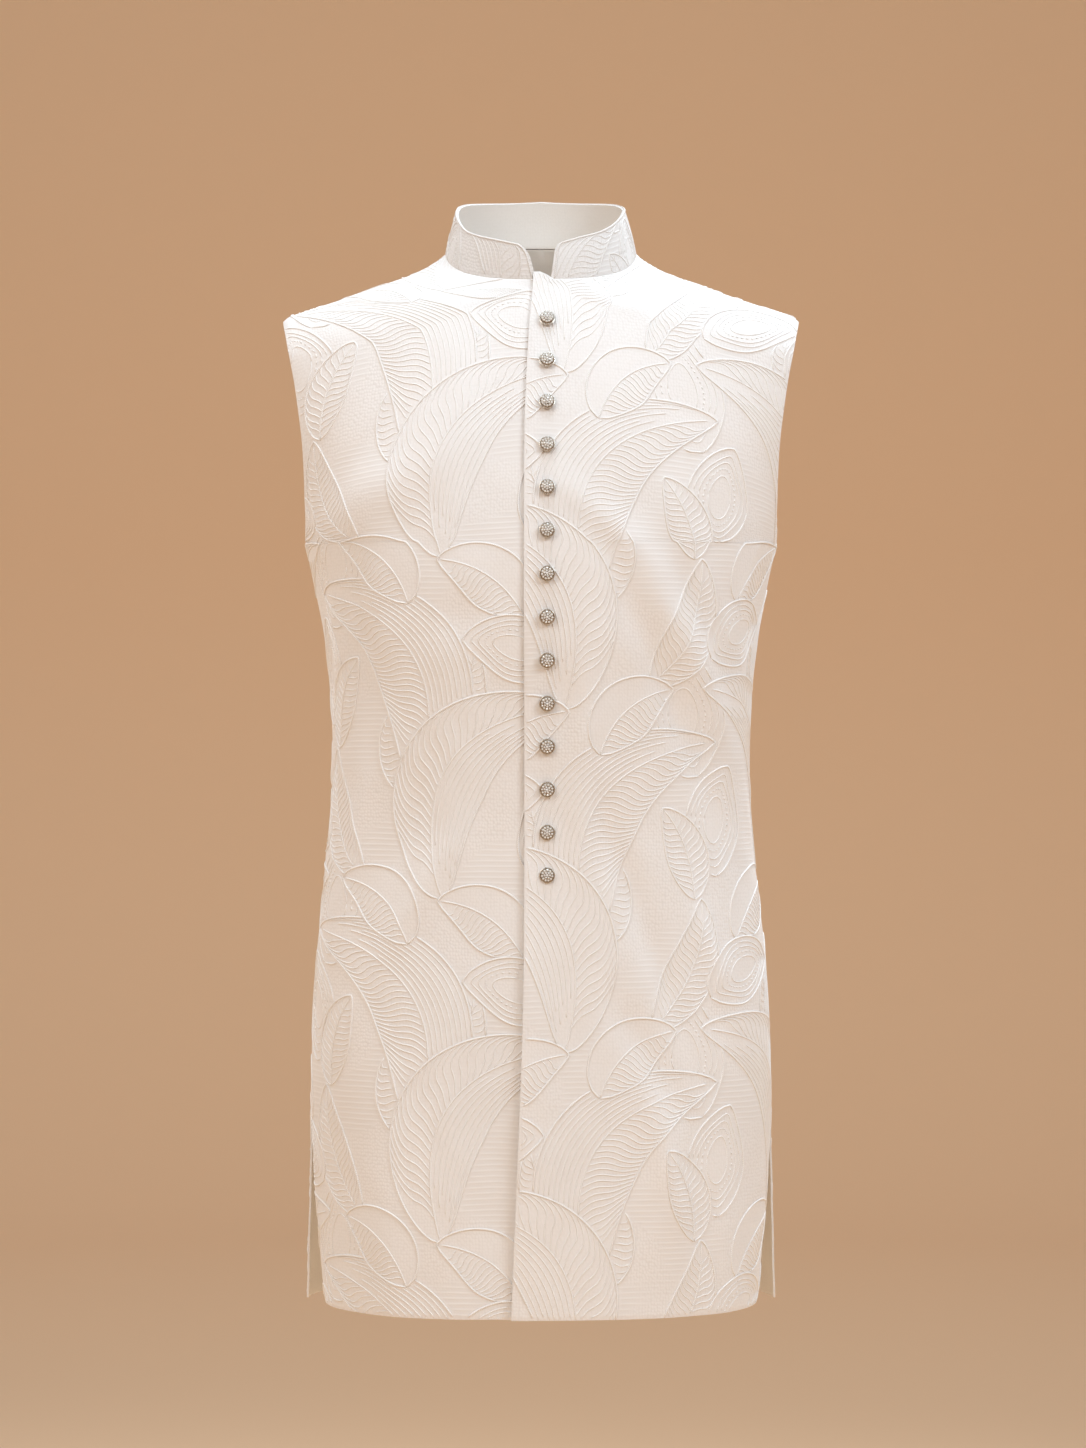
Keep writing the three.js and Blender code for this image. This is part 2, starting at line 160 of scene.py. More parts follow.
def smooth_column(rows, column):
    rows = sorted(rows)
    at = np.array([row[0] for row in rows], float)
    value = np.array([row[column] for row in rows], float)
    last = len(rows) - 1
    before = np.maximum(np.arange(last + 1) - 1, 0)
    after = np.minimum(np.arange(last + 1) + 1, last)
    slope = (value[after] - value[before]) / (at[after] - at[before])

    def curve(place):
        place = np.clip(place, at[0], at[-1])
        i = np.clip(np.searchsorted(at, place, side="right") - 1, 0, last - 1)
        span = at[i + 1] - at[i]
        share = (place - at[i]) / span
        rise = value[i + 1] - value[i]
        bend = (slope[i] * span - rise) * (1 - share) - (slope[i + 1] * span - rise) * share
        return value[i] + rise * share + bend * share * (1 - share)

    return curve


section_width = smooth_column(SECTIONS, 1)
section_front = smooth_column(SECTIONS, 2)
section_back = smooth_column(SECTIONS, 3)
section_square = smooth_column(SECTIONS, 4)
armhole_front = smooth_column(ARMHOLE_EDGE, 1)
armhole_back = smooth_column(ARMHOLE_EDGE, 2)
lap_edge = smooth_column(LAP_EDGE, 1)


def mix(low, high, share):
    return low + (high - low) * share


def smoothstep(value, low, high):
    share = np.clip((value - low) / (high - low), 0, 1)
    return share * share * (3 - 2 * share)


def slit_share(height):
    return np.maximum(0, (SLIT_TOP - height) / (SLIT_TOP - HEM_HEIGHT)) ** SLIT_BOW


def half_width_at(height, is_back):
    return section_width(height) + slit_share(height) * (SLIT_BACK_OUT if is_back else -SLIT_FRONT_IN)


def section_points(turn, height, is_back):
    power = 2 / section_square(height)
    across = np.sign(np.sin(turn)) * np.abs(np.sin(turn)) ** power
    deep = np.abs(np.cos(turn)) ** power
    y = section_back(height) * deep if is_back else -section_front(height) * deep
    return np.stack([half_width_at(height, is_back) * across, y, height + 0 * across], axis=-1)


def turn_at_x(x, height, is_back):
    share = min(1.0, abs(x) / half_width_at(height, is_back))
    return math.copysign(math.asin(share ** (section_square(height) / 2)), x)


def neck_point(turn):
    c = math.cos(turn)
    x = NECK_HALF_WIDTH * math.sin(turn)
    if c >= 0:
        rise = (NECK_SIDE_HEIGHT - NECK_FRONT_HEIGHT) * (1 - c) ** NECK_BOW
        return np.array([x, -NECK_FRONT * c, NECK_FRONT_HEIGHT + rise])
    return np.array([x, -NECK_BACK * c, NECK_SIDE_HEIGHT + (NECK_BACK_HEIGHT - NECK_SIDE_HEIGHT) * -c])


def row_line(centre, side, bow, edge_x, is_back, samples=240):
    start = turn_at_x(edge_x, centre, is_back)
    edge = armhole_back if is_back else armhole_front
    end = math.pi / 2 - math.radians(SLIT_OPEN_TURN) * slit_share(side)
    if side > ARMHOLE_BOTTOM:
        end = turn_at_x(edge(side), side, is_back)
    t = np.linspace(0, 1, samples + 1)
    height = mix(centre, side, 1 - (1 - t) ** bow)
    return section_points(mix(start, end, t), height, is_back)


def yoke_line(base, share, start_turn, is_back):
    turned = math.pi / 2 * share
    neck_turn = mix(start_turn, math.pi / 2, share)
    neck = neck_point(math.pi - neck_turn if is_back else neck_turn)
    flat_rise = (1 - math.cos(turned)) ** (1 if is_back else NECK_BOW)
    t = np.linspace(0, 1, len(base))
    seam_x = mix(NECK_HALF_WIDTH, SHOULDER_TIP_X, t)
    seam_z = NECK_SIDE_HEIGHT - (NECK_SIDE_HEIGHT - SHOULDER_TIP_HEIGHT) * t ** SHOULDER_BOW
    tilted = mix(YOKE_TILT, math.pi / 2, share)
    climb = (math.sin(tilted) - math.sin(YOKE_TILT)) / (1 - math.sin(YOKE_TILT))
    outer = smoothstep(t, 0, 0.4)
    rise = mix(flat_rise, climb, outer)
    x = mix(base[:, 0], seam_x, mix(math.sin(turned), climb, outer))
    y = base[:, 1] * mix(math.cos(turned), math.cos(tilted) / math.cos(YOKE_TILT), outer)
    z = mix(base[:, 2], seam_z, rise) - TIP_DROOP * climb * smoothstep(t, 0.93, 1.03) ** 2
    line = np.stack([x, y, z], axis=-1)
    return line + (neck - line[0]) * ((1 - t) ** 4)[:, None]


def spaced_out(line, columns):
    length = np.concatenate([[0], np.cumsum(np.linalg.norm(np.diff(line, axis=0), axis=1))])
    share = 1 - (1 - np.linspace(0, 1, columns + 1)) ** SIDE_CROWDING
    return np.stack([np.interp(share * length[-1], length, line[:, k]) for k in range(3)], axis=-1)


def fold_out(folds, across, height):
    moved = 0 * across
    for where, middle, wide, long, out, lean in folds:
        along = (height - middle) / long
        aside = (across - where - lean * (height - middle)) / wide
        moved = moved + out * np.exp(-along * along - aside * aside)
    return moved


# Rows of points below the armhole, beside it and over the shoulder, and how
# deep the cloth sinks at a seam and ripples elsewhere.
LOW_ROWS = 150
ARMHOLE_ROWS = 34
YOKE_ROWS = 24
SEAM_SINK = 0.9
SHOULDER_SEAM_SINK = 0.8
SEAM_SINK_REACH = 2.2
RIPPLE = 0.28


# A panel as a grid of points in millimetres, rows from hem to shoulder and
# columns from the centre to the side, with its place on the flat cloth. Its
# folds are pressed in, with a faint ripple and a sunk line along each seam.
def panel_grid(centre_top, edge_x, is_back, columns, folds, hand=1):
    rows = []
    for i in range(LOW_ROWS + 1):
        height = mix(HEM_HEIGHT, ARMHOLE_BOTTOM, i / LOW_ROWS)
        rows.append(row_line(height, height, 1.0, edge_x(height), is_back))
    for i in range(1, ARMHOLE_ROWS + 1):
        share = (i / ARMHOLE_ROWS) ** 1.5
        side = mix(ARMHOLE_BOTTOM, YOKE_HEIGHT, share)
        centre = mix(ARMHOLE_BOTTOM, centre_top, share)
        rows.append(row_line(centre, side, mix(1, YOKE_BOW, share), edge_x(centre), is_back))
    base = rows[-1]
    start_turn = math.asin(edge_x(centre_top) / NECK_HALF_WIDTH)
    for i in range(1, YOKE_ROWS + 1):
        rows.append(yoke_line(base, i / YOKE_ROWS, start_turn, is_back))
    grid = np.array([spaced_out(row, columns) for row in rows])
    steps = np.linalg.norm(np.diff(grid, axis=1), axis=2)
    travelled = np.concatenate([np.zeros((len(rows), 1)), np.cumsum(steps, axis=1)], axis=1)
    across = grid[:, :1, 0] + travelled
    climbs = np.linalg.norm(np.diff(grid, axis=0), axis=2)
    along = np.concatenate([np.zeros((1, columns + 1)), np.cumsum(climbs, axis=0)], axis=0)
    outward = np.stack([grid[..., 0] / 200, grid[..., 1] / 120, 0 * grid[..., 0]], axis=-1)
    outward /= np.maximum(np.linalg.norm(outward, axis=-1, keepdims=True), 1e-9)
    placed = hand * across
    moved = fold_out(folds, placed, grid[..., 2])
    ripple = RIPPLE * np.sin(placed / 9.5 + 1.7 * np.sin(along / 31))
    ripple = ripple * np.sin(along / 12.5 + 1.3 * np.sin(placed / 27))
    seam_depth = SEAM_SINK * np.exp(-(((across[:, -1:] - across) / SEAM_SINK_REACH) ** 2))
    seam_depth[LOW_ROWS + 1:] = 0
    seam_depth *= smoothstep(grid[..., 2], SLIT_TOP - 20, SLIT_TOP + 10)
    grid = grid + outward * (moved + ripple - seam_depth)[..., None]
    last = along[-1:, :]
    grid[..., 2] -= SHOULDER_SEAM_SINK * np.exp(-(((last - along) / SEAM_SINK_REACH) ** 2))
    return grid, across, along


def round_hem_corner(grid):
    near = np.maximum(0, HEM_CORNER - np.linalg.norm(grid[0] - grid[0, -1], axis=1))
    lift = HEM_CORNER - np.sqrt(HEM_CORNER ** 2 - near ** 2)
    fade = np.clip(1 - (grid[..., 2] - HEM_HEIGHT) / 40, 0, 1)
    grid[..., 2] += lift[None, :] * fade


# The side seam and the shoulder seam keep half a seam's gap from their plane.
def trim_seams(grid, is_back):
    shift = SEAM_SHIFT if is_back else -SEAM_SHIFT
    grid[-1, :, 1] = shift
    side = grid[:, -1, 1]
    side[np.abs(side) < SEAM_SHIFT] = shift


# The front edge's upper corner stands up a little between the collar's ends.
NECK_CORNER_RISE = 7.5
NECK_CORNER_LEAN = 2.0


def raise_neck_corner(grid):
    reach = 1 - smoothstep(grid[..., 0], 3.0, 8.0)
    fade = np.clip(1 - (NECK_FRONT_HEIGHT + 1.5 - grid[..., 2]) / 16, 0, 1) ** 1.5
    fade = np.where(grid[..., 1] < 0, fade, 0)
    grid[..., 2] += NECK_CORNER_RISE * reach * fade
    grid[..., 1] += NECK_CORNER_LEAN * reach * fade


# Leaves of the embroidery, drawn on the flat cloth in millimetres, later ones
# over earlier ones: the stalk end's x and y, length, width, heading in degrees,
# bend and filling.
REPEAT_WIDE = 232.0
REPEAT_HIGH = 292.0
LEAF_KINDS = [
    (112, 150, 108, 74, 96, 0.10, "ringed"),
    (128, 64, 96, 60, 82, 0.08, "ringed"),
    (226, 150, 84, 46, 60, -0.14, "hatched"),
    (8, 40, 100, 42, 118, 0.10, "fern"),
    (104, 44, 84, 40, 110, -0.10, "fern"),
    (14, 0, 212, 84, 58, 0.30, "arched"),
    (222, 60, 200, 80, 124, -0.30, "arched"),
    (150, 8, 92, 54, 34, 0.14, "hatched"),
    (66, 226, 120, 44, 68, -0.12, "fern"),
    (120, 252, 90, 56, 20, 0.10, "ringed"),
    (20, 168, 88, 52, 40, 0.16, "hatched"),
]
# How wide each cord is, and how far it stands out.
OUTLINE_CORD = (2.0, 0.85)
MIDRIB_CORD = (1.7, 0.6)
VEIN_CORD = (1.35, 0.5)
KNOT_CORD = (1.6, 0.6)
CORD_STEP = 3.2


def leaf_points(leaf, along, across):
    x, y, length, width, turn, bend = leaf[:6]
    along = np.asarray(along, float)
    across = np.asarray(across, float)
    heading = math.radians(turn)
    lift = bend * length * 4 * along * (1 - along)
    slope = bend * 4 * (1 - 2 * along)
    size = np.hypot(1, slope)
    half = 0.5 * width * np.sin(math.pi * np.clip(along, 0, 1) ** 0.85) ** 0.72
    ahead = along * length - across * half * slope / size
    aside = lift + across * half / size
    px = x + math.cos(heading) * ahead - math.sin(heading) * aside
    py = y + math.sin(heading) * ahead + math.cos(heading) * aside
    return np.stack([px, py], axis=-1)


def leaf_outline(leaf):
    n = max(16, round(leaf[2] / 4))
    up = np.linspace(0, 1, n + 1)
    down = np.linspace(1, 0, n + 1)[1:-1]
    along = np.concatenate([up, down, [0]])
    across = np.concatenate([np.ones(n + 1), -np.ones(n - 1), [1]])
    return leaf_points(leaf, along, across)


def vein(leaf, start, side, sweep):
    k = np.linspace(0, 1, max(4, round(leaf[3] / 7)))
    along = start + sweep * k ** 1.4 + 0.018 * np.sin(2 * math.pi * k)
    kept = along < 0.97
    return leaf_points(leaf, along[kept], side * k[kept])


# The rings in a leaf, as shares of its outline, and its ring of knots.
RING_SHARES = (0.84, 0.68, 0.36)
KNOT_SHARE = 0.52


def ring_points(leaf, share, turn):
    along = 0.5 + 0.5 * (0.12 + 0.86 * share) * np.sin(turn)
    return leaf_points(leaf, along, np.cos(turn) * share)


# Distance from vein to vein, and how far along the leaf each vein sweeps.
VEIN_PITCH = {"arched": 6.4, "hatched": 5.2, "fern": 5.6}
VEIN_SWEEP = {"arched": 0.16, "hatched": 0.10, "fern": 0.14}
ARCH_PITCH = 4.8


def leaf_cords(leaf):
    length, width, fill = leaf[2], leaf[3], leaf[6]
    found = [(leaf_outline(leaf), OUTLINE_CORD)]
    n = max(10, round(length / 4))
    spread = np.linspace(0, 1, n + 1)
    if fill == "ringed":
        for k in RING_SHARES:
            turn = np.linspace(0, 2 * math.pi, 2 * n)
            found.append((ring_points(leaf, k, turn), VEIN_CORD))
        knots = round(1.9 * length * KNOT_SHARE / 3.0)
        for m in range(knots):
            turn = 2 * math.pi * (m + np.array([0.2, 0.5, 0.8])) / knots
            found.append((ring_points(leaf, KNOT_SHARE, turn), KNOT_CORD))
        return found
    found.append((leaf_points(leaf, spread * 0.97, 0 * spread), MIDRIB_CORD))
    if fill == "arched":
        arches = max(2, round(width / 2 / ARCH_PITCH))
        for j in range(1, arches):
            k = j / arches
            first = 0.03 + 0.10 * (1 - k)
            last = 0.965 - 0.20 * (1 - k)
            if j % 2:
                first += 0.05
                last -= 0.07
            along = mix(first, last, spread)
            found.append((leaf_points(leaf, along, 0 * along + k), VEIN_CORD))
    for start in np.arange(0.07, 0.86, VEIN_PITCH[fill] / length):
        found.append((vein(leaf, start, -1.0, VEIN_SWEEP[fill]), VEIN_CORD))
        if fill == "fern":
            found.append((vein(leaf, start, 1.0, VEIN_SWEEP[fill]), VEIN_CORD))
    return found


def in_outline(points, outline):
    x, y = points[:, 0], points[:, 1]
    hit = np.zeros(len(points), bool)
    for (ax, ay), (bx, by) in zip(outline, np.roll(outline, -1, axis=0)):
        crosses = (ay > y) != (by > y)
        if crosses.any() and ay != by:
            hit ^= crosses & (x < (bx - ax) * (y - ay) / (by - ay) + ax)
    return hit


# The leaves that fall on a stretch of cloth, in the order that they lie on
# each other. Every other column of repeats is dropped by half a repeat.
def leaves_on(low, high, origin, size=1.0):
    found = []
    wide = REPEAT_WIDE * size
    tall = REPEAT_HIGH * size
    for leaf in LEAF_KINDS:
        for i in range(math.floor(low[0] / wide) - 2, math.ceil(high[0] / wide) + 2):
            for j in range(math.floor(low[1] / tall) - 2, math.ceil(high[1] / tall) + 2):
                x = leaf[0] * size + i * wide + origin[0]
                y = leaf[1] * size + (j + 0.5 * (i % 2)) * tall + origin[1]
                moved = (x, y, leaf[2] * size, leaf[3] * size) + leaf[4:]
                outline = leaf_outline(moved)
                box = (outline.min(axis=0), outline.max(axis=0))
                if (box[1] > low).all() and (box[0] < high).all():
                    found.append((moved, outline, box))
    return found


# The ground between the leaves, as 1 on it and 0 on a leaf.
def ground_share(flat, leaves):
    ground = np.ones(len(flat))
    for leaf, outline, (low, high) in leaves:
        near = ((flat >= low) & (flat <= high)).all(axis=1)
        index = np.nonzero(near)[0]
        ground[index[in_outline(flat[index], outline)]] = 0
    return ground


# The visible runs of each leaf's cords, evenly stepped and cut where a later
# leaf covers them. Below 1, thin makes every cord finer.
def visible_runs(leaves, thin=1.0, step=CORD_STEP):
    runs = []
    for order, (leaf, outline, (low, high)) in enumerate(leaves):
        above = [
            (line, box)
            for _, line, box in leaves[order + 1:]
            if (box[0] < high).all() and (box[1] > low).all()
        ]
        for line, cord in leaf_cords(leaf):
            if len(line) < 3:
                continue
            cord = (cord[0] * math.sqrt(thin), cord[1] * thin)
            steps = np.linalg.norm(np.diff(line, axis=0), axis=1)
            length = np.concatenate([[0], np.cumsum(steps)])
            count = max(2, round(length[-1] / step))
            spread = np.linspace(0, length[-1], count + 1)
            points = np.stack([np.interp(spread, length, line[:, k]) for k in range(2)], axis=-1)
            hidden = np.zeros(len(points), bool)
            for cover, box in above:
                inside = ((points >= box[0]) & (points <= box[1])).all(axis=1)
                if inside.any():
                    hidden[inside] |= in_outline(points[inside], cover)
            run = []
            for point, gone in zip(points, hidden):
                if gone:
                    if len(run) > 2:
                        runs.append((run, cord))
                    run = []
                else:
                    run.append(point)
            if len(run) > 2:
                runs.append((run, cord))
    return runs


# Sews the runs on a panel: each flat point is found on the cloth, and a raised
# cord is laid there. What falls past the panel's edge is cut off.
CORD_BED = 0.35


def sew_cords(name, runs, grid_points, normals, flat, quads, material):
    flat_points = [Vector((x, y, 0)) for x, y in flat]
    triangles = []
    for a, b, c, d in quads:
        triangles += [(a, b, c), (a, c, d)]
    tree = BVHTree.FromPolygons(flat_points, triangles)
    points_3d = [Vector(p) for p in grid_points]
    normals_3d = [Vector(n) for n in normals]
    vertices, faces, along_cord = [], [], []
    down = Vector((0, 0, -1))

    def lay(run, wide, high):
        first = len(vertices)
        count = len(run)
        travelled = 0.0
        for i, (point, normal) in enumerate(run):
            ahead = run[min(i + 1, count - 1)][0] - run[max(i - 1, 0)][0]
            if i:
                travelled += (point - run[i - 1][0]).length
            side = normal.cross(ahead).normalized()
            end = 0.35 if i in (0, count - 1) else 1.0
            half = wide / 2 * end
            top = normal * (high * end)
            low = normal * -CORD_BED
            vertices.extend([
                point + side * half + low,
                point + side * half * 0.5 + top,
                point - side * half * 0.5 + top,
                point - side * half + low,
            ])
            along_cord.extend([travelled] * 4)
        for i in range(count - 1):
            here = first + 4 * i
            for k in range(4):
                nxt = (k + 1) % 4
                faces.append((here + k, here + nxt, here + 4 + nxt, here + 4 + k))
        faces.append((first + 3, first + 2, first + 1, first))
        end_ring = first + 4 * (count - 1)
        faces.append((end_ring, end_ring + 1, end_ring + 2, end_ring + 3))

    for run, (wide, high) in runs:
        on_cloth = []
        for x, y in run:
            hit = tree.ray_cast(Vector((x, y, 1)), down)
            if hit[0] is None:
                if len(on_cloth) > 2:
                    lay(on_cloth, wide, high)
                on_cloth = []
                continue
            a, b, c = triangles[hit[2]]
            flat_corners = [flat_points[k] for k in (a, b, c)]
            place = barycentric_transform(hit[0], *flat_corners, *[points_3d[k] for k in (a, b, c)])
            normal = barycentric_transform(hit[0], *flat_corners, *[normals_3d[k] for k in (a, b, c)])
            on_cloth.append((place, normal.normalized()))
        if len(on_cloth) > 2:
            lay(on_cloth, wide, high)

    mesh = bpy.data.meshes.new(name)
    mesh.from_pydata([tuple(v * MM) for v in vertices], [], faces)
    layer = mesh.uv_layers.new(name="UVMap")
    loops = np.empty(len(mesh.loops), dtype=np.int32)
    mesh.loops.foreach_get("vertex_index", loops)
    uv = np.stack([np.array(along_cord)[loops] * MM, (loops % 4) / 4.0], axis=-1)
    layer.data.foreach_set("uv", uv.ravel())
    mesh.polygons.foreach_set("use_smooth", [True] * len(mesh.polygons))
    mesh.materials.append(material)
    piece = bpy.data.objects.new(name, mesh)
    bpy.context.scene.collection.objects.link(piece)
    return piece


def add_node(tree, kind, **settings):
    node = tree.nodes.new(kind)
    for name, value in settings.items():
        setattr(node, name, value)
    return node


def math_node(tree, operation, first, second=None, third=None):
    node = add_node(tree, "ShaderNodeMath", operation=operation)
    for socket, value in zip(node.inputs, (first, second, third)):
        if value is None:
            continue
        if isinstance(value, (int, float)):
            socket.default_value = value
        else:
            tree.links.new(value, socket)
    return node.outputs[0]


def new_material(name):
    material = bpy.data.materials.new(name)
    material.use_nodes = True
    tree = material.node_tree
    return material, tree, tree.nodes["Principled BSDF"]


# The surface's colour runs between two shades with the share.
def colour_between(tree, surface, share, deep, light):
    colour = add_node(tree, "ShaderNodeMix", data_type="RGBA")
    colour.inputs[6].default_value = deep
    colour.inputs[7].default_value = light
    tree.links.new(share, colour.inputs[0])
    tree.links.new(colour.outputs[2], surface.inputs["Base Color"])


def new_group(name, inputs, outputs):
    group = bpy.data.node_groups.new(name, "ShaderNodeTree")
    for label, kind in inputs:
        group.interface.new_socket(name=label, in_out="INPUT", socket_type=kind)
    for label, kind in outputs:
        group.interface.new_socket(name=label, in_out="OUTPUT", socket_type=kind)
    return group, group.nodes.new("NodeGroupInput"), group.nodes.new("NodeGroupOutput")


# Warp and weft threads, from a place on the flat cloth in metres.
weave_group, weave_in, weave_out = new_group(
    "woven_threads",
    [("Place", "NodeSocketVector"), ("Thread", "NodeSocketFloat")],
    [("Height", "NodeSocketFloat")],
)
weave_place = add_node(weave_group, "ShaderNodeSeparateXYZ")
weave_group.links.new(weave_in.outputs["Place"], weave_place.inputs[0])
turns = math_node(weave_group, "DIVIDE", 2 * math.pi, weave_in.outputs["Thread"])
warp_turn = math_node(weave_group, "MULTIPLY", weave_place.outputs[0], turns)
weft_turn = math_node(weave_group, "MULTIPLY", weave_place.outputs[1], turns)
warp = math_node(weave_group, "SINE", warp_turn)
weft = math_node(weave_group, "SINE", weft_turn)
weave_group.links.new(math_node(weave_group, "MULTIPLY", warp, weft), weave_out.inputs["Height"])

# The stitched ground: rows of small knots in some places and lines of running
# stitch in others, and a quieter filling inside the leaves.
STITCH_LINE_PITCH = 0.0047
KNOTS_PER_METRE = (390, 330, 1)

stitch_group, stitch_in, stitch_out = new_group(
    "stitched_ground",
    [("Place", "NodeSocketVector"), ("Ground", "NodeSocketFloat")],
    [("Height", "NodeSocketFloat"), ("Shade", "NodeSocketFloat")],
)
g = stitch_group
stitch_place = add_node(g, "ShaderNodeSeparateXYZ")
g.links.new(stitch_in.outputs["Place"], stitch_place.inputs[0])
drift = add_node(g, "ShaderNodeTexNoise", noise_dimensions="2D")
drift.inputs["Scale"].default_value = 9
g.links.new(stitch_in.outputs["Place"], drift.inputs["Vector"])
line_phase = math_node(g, "MULTIPLY", stitch_place.outputs[1], 2 * math.pi / STITCH_LINE_PITCH)
line_phase = math_node(g, "MULTIPLY_ADD", drift.outputs["Fac"], 7.0, line_phase)
lines = math_node(g, "MULTIPLY_ADD", math_node(g, "SINE", line_phase), 0.5, 0.5)
lines = math_node(g, "MULTIPLY_ADD", math_node(g, "POWER", lines, 3.0), 0.45, 0.4)
knot_map = add_node(g, "ShaderNodeMapping")
knot_map.inputs["Scale"].default_value = KNOTS_PER_METRE
g.links.new(stitch_in.outputs["Place"], knot_map.inputs["Vector"])
knots = add_node(g, "ShaderNodeTexVoronoi", voronoi_dimensions="2D")
knots.inputs["Scale"].default_value = 1
knots.inputs["Randomness"].default_value = 0.55
g.links.new(knot_map.outputs[0], knots.inputs["Vector"])
knot_height = math_node(g, "SUBTRACT", 1.0, knots.outputs["Distance"])
patches = add_node(g, "ShaderNodeTexNoise", noise_dimensions="2D")
patches.inputs["Scale"].default_value = 13
patches.inputs["Detail"].default_value = 0
g.links.new(stitch_in.outputs["Place"], patches.inputs["Vector"])
patch = add_node(g, "ShaderNodeMapRange", interpolation_type="SMOOTHSTEP")
patch.inputs["From Min"].default_value = 0.40
patch.inputs["From Max"].default_value = 0.50
g.links.new(patches.outputs["Fac"], patch.inputs["Value"])
ground_mix = add_node(g, "ShaderNodeMix", data_type="FLOAT")
g.links.new(patch.outputs[0], ground_mix.inputs[0])
g.links.new(lines, ground_mix.inputs[2])
g.links.new(knot_height, ground_mix.inputs[3])
quiet = math_node(g, "MULTIPLY_ADD", knot_height, 0.6, 0.3)
fill_mix = add_node(g, "ShaderNodeMix", data_type="FLOAT")
g.links.new(stitch_in.outputs["Ground"], fill_mix.inputs[0])
g.links.new(quiet, fill_mix.inputs[2])
g.links.new(ground_mix.outputs[0], fill_mix.inputs[3])
g.links.new(fill_mix.outputs[0], stitch_out.inputs["Height"])
# Shade: a broad random tone, plus painted shade that gives the low places between the stitches a
# deeper colour.
broad = add_node(g, "ShaderNodeTexNoise", noise_dimensions="2D")
broad.inputs["Scale"].default_value = 7
g.links.new(stitch_in.outputs["Place"], broad.inputs["Vector"])
shade = math_node(g, "MULTIPLY", broad.outputs["Fac"], 0.4)
shade = math_node(g, "MULTIPLY_ADD", fill_mix.outputs[0], 0.6, shade)
g.links.new(shade, stitch_out.inputs["Shade"])


THREAD_PITCH = 0.0012
WEAVE_RELIEF = 0.00004


# Ivory cloth between two shades, with a broad random tone. The deep shade is painted shade, laid low
# between the stitches.
def cloth_material(name, deep, light, stitch_relief, has_ground):
    material, tree, surface = new_material(name)
    place = add_node(tree, "ShaderNodeUVMap", uv_map="UVMap")
    weave = add_node(tree, "ShaderNodeGroup", node_tree=weave_group)
    weave.inputs["Thread"].default_value = THREAD_PITCH
    tree.links.new(place.outputs[0], weave.inputs["Place"])
    stitches = add_node(tree, "ShaderNodeGroup", node_tree=stitch_group)
    tree.links.new(place.outputs[0], stitches.inputs["Place"])
    if has_ground:
        ground = add_node(tree, "ShaderNodeAttribute", attribute_name="ground")
        tree.links.new(ground.outputs["Fac"], stitches.inputs["Ground"])
    relief = math_node(tree, "MULTIPLY", stitches.outputs["Height"], stitch_relief)
    relief = math_node(tree, "MULTIPLY_ADD", weave.outputs["Height"], WEAVE_RELIEF, relief)
    bump = add_node(tree, "ShaderNodeBump")
    bump.inputs["Strength"].default_value = 1.0
    bump.inputs["Distance"].default_value = 1.0
    tree.links.new(relief, bump.inputs["Height"])
    tree.links.new(bump.outputs[0], surface.inputs["Normal"])
    # Painted shade: the deep colour where the stitches lie low.
    colour_between(tree, surface, stitches.outputs["Shade"], deep, light)
    rough = math_node(tree, "MULTIPLY_ADD", stitches.outputs["Shade"], -0.12, 0.86)
    tree.links.new(rough, surface.inputs["Roughness"])
    surface.inputs["Sheen Weight"].default_value = 0.12
    surface.inputs["Sheen Roughness"].default_value = 0.5
    surface.inputs["Specular IOR Level"].default_value = 0.3
    return material


ivory_cloth = cloth_material(
    "ivory_cloth", (0.725, 0.69, 0.662, 1), (0.87, 0.85, 0.838, 1), 0.00028, True
)
cloth_inside = cloth_material(
    "cloth_inside", (0.77, 0.725, 0.67, 1), (0.85, 0.81, 0.76, 1), 0.00006, False
)

# The cord is twisted from fine threads, a shade whiter than the cloth. Painted shade darkens the
# grooves between its strands.
CORD_TWIST = 0.0016
CORD_TWIST_RELIEF = 0.00012


def cord_material(name, deep, light):
    material, tree, surface = new_material(name)
    place = add_node(tree, "ShaderNodeUVMap", uv_map="UVMap")
    axes = add_node(tree, "ShaderNodeSeparateXYZ")
    tree.links.new(place.outputs[0], axes.inputs[0])
    twist = math_node(tree, "MULTIPLY", axes.outputs[0], 2 * math.pi / CORD_TWIST)
    twist = math_node(tree, "MULTIPLY_ADD", axes.outputs[1], 2 * math.pi, twist)
    strand = math_node(tree, "MULTIPLY_ADD", math_node(tree, "SINE", twist), 0.5, 0.5)
    bump = add_node(tree, "ShaderNodeBump")
    bump.inputs["Distance"].default_value = CORD_TWIST_RELIEF
    tree.links.new(strand, bump.inputs["Height"])
    tree.links.new(bump.outputs[0], surface.inputs["Normal"])
    # Painted shade: the deeper colour lies in the grooves of the twist.
    colour_between(tree, surface, strand, deep, light)
    surface.inputs["Roughness"].default_value = 0.55
    surface.inputs["Sheen Weight"].default_value = 0.15
    surface.inputs["Specular IOR Level"].default_value = 0.4
    return material


cord_thread = cord_material("cord_thread", (0.78, 0.75, 0.725, 1), (0.92, 0.905, 0.89, 1))


def grid_normals(grid, flip):
    du = np.gradient(grid, axis=1)
    dv = np.gradient(grid, axis=0)
    normal = np.cross(du, dv)
    if flip:
        normal = -normal
    return normal / np.maximum(np.linalg.norm(normal, axis=-1, keepdims=True), 1e-9)


def grid_quads(rows, columns, first=0, flip=False):
    quads = []
    for r in range(rows - 1):
        for c in range(columns - 1):
            a = first + r * columns + c
            quad = (a, a + 1, a + columns + 1, a + columns)
            quads.append(tuple(reversed(quad)) if flip else quad)
    return quads


# Makes the cloth from its points: a thin shell with softly rounded edges, the
# right side outwards, and its place on the flat cloth as its UV map.
EDGE_ROUNDING = 0.00055


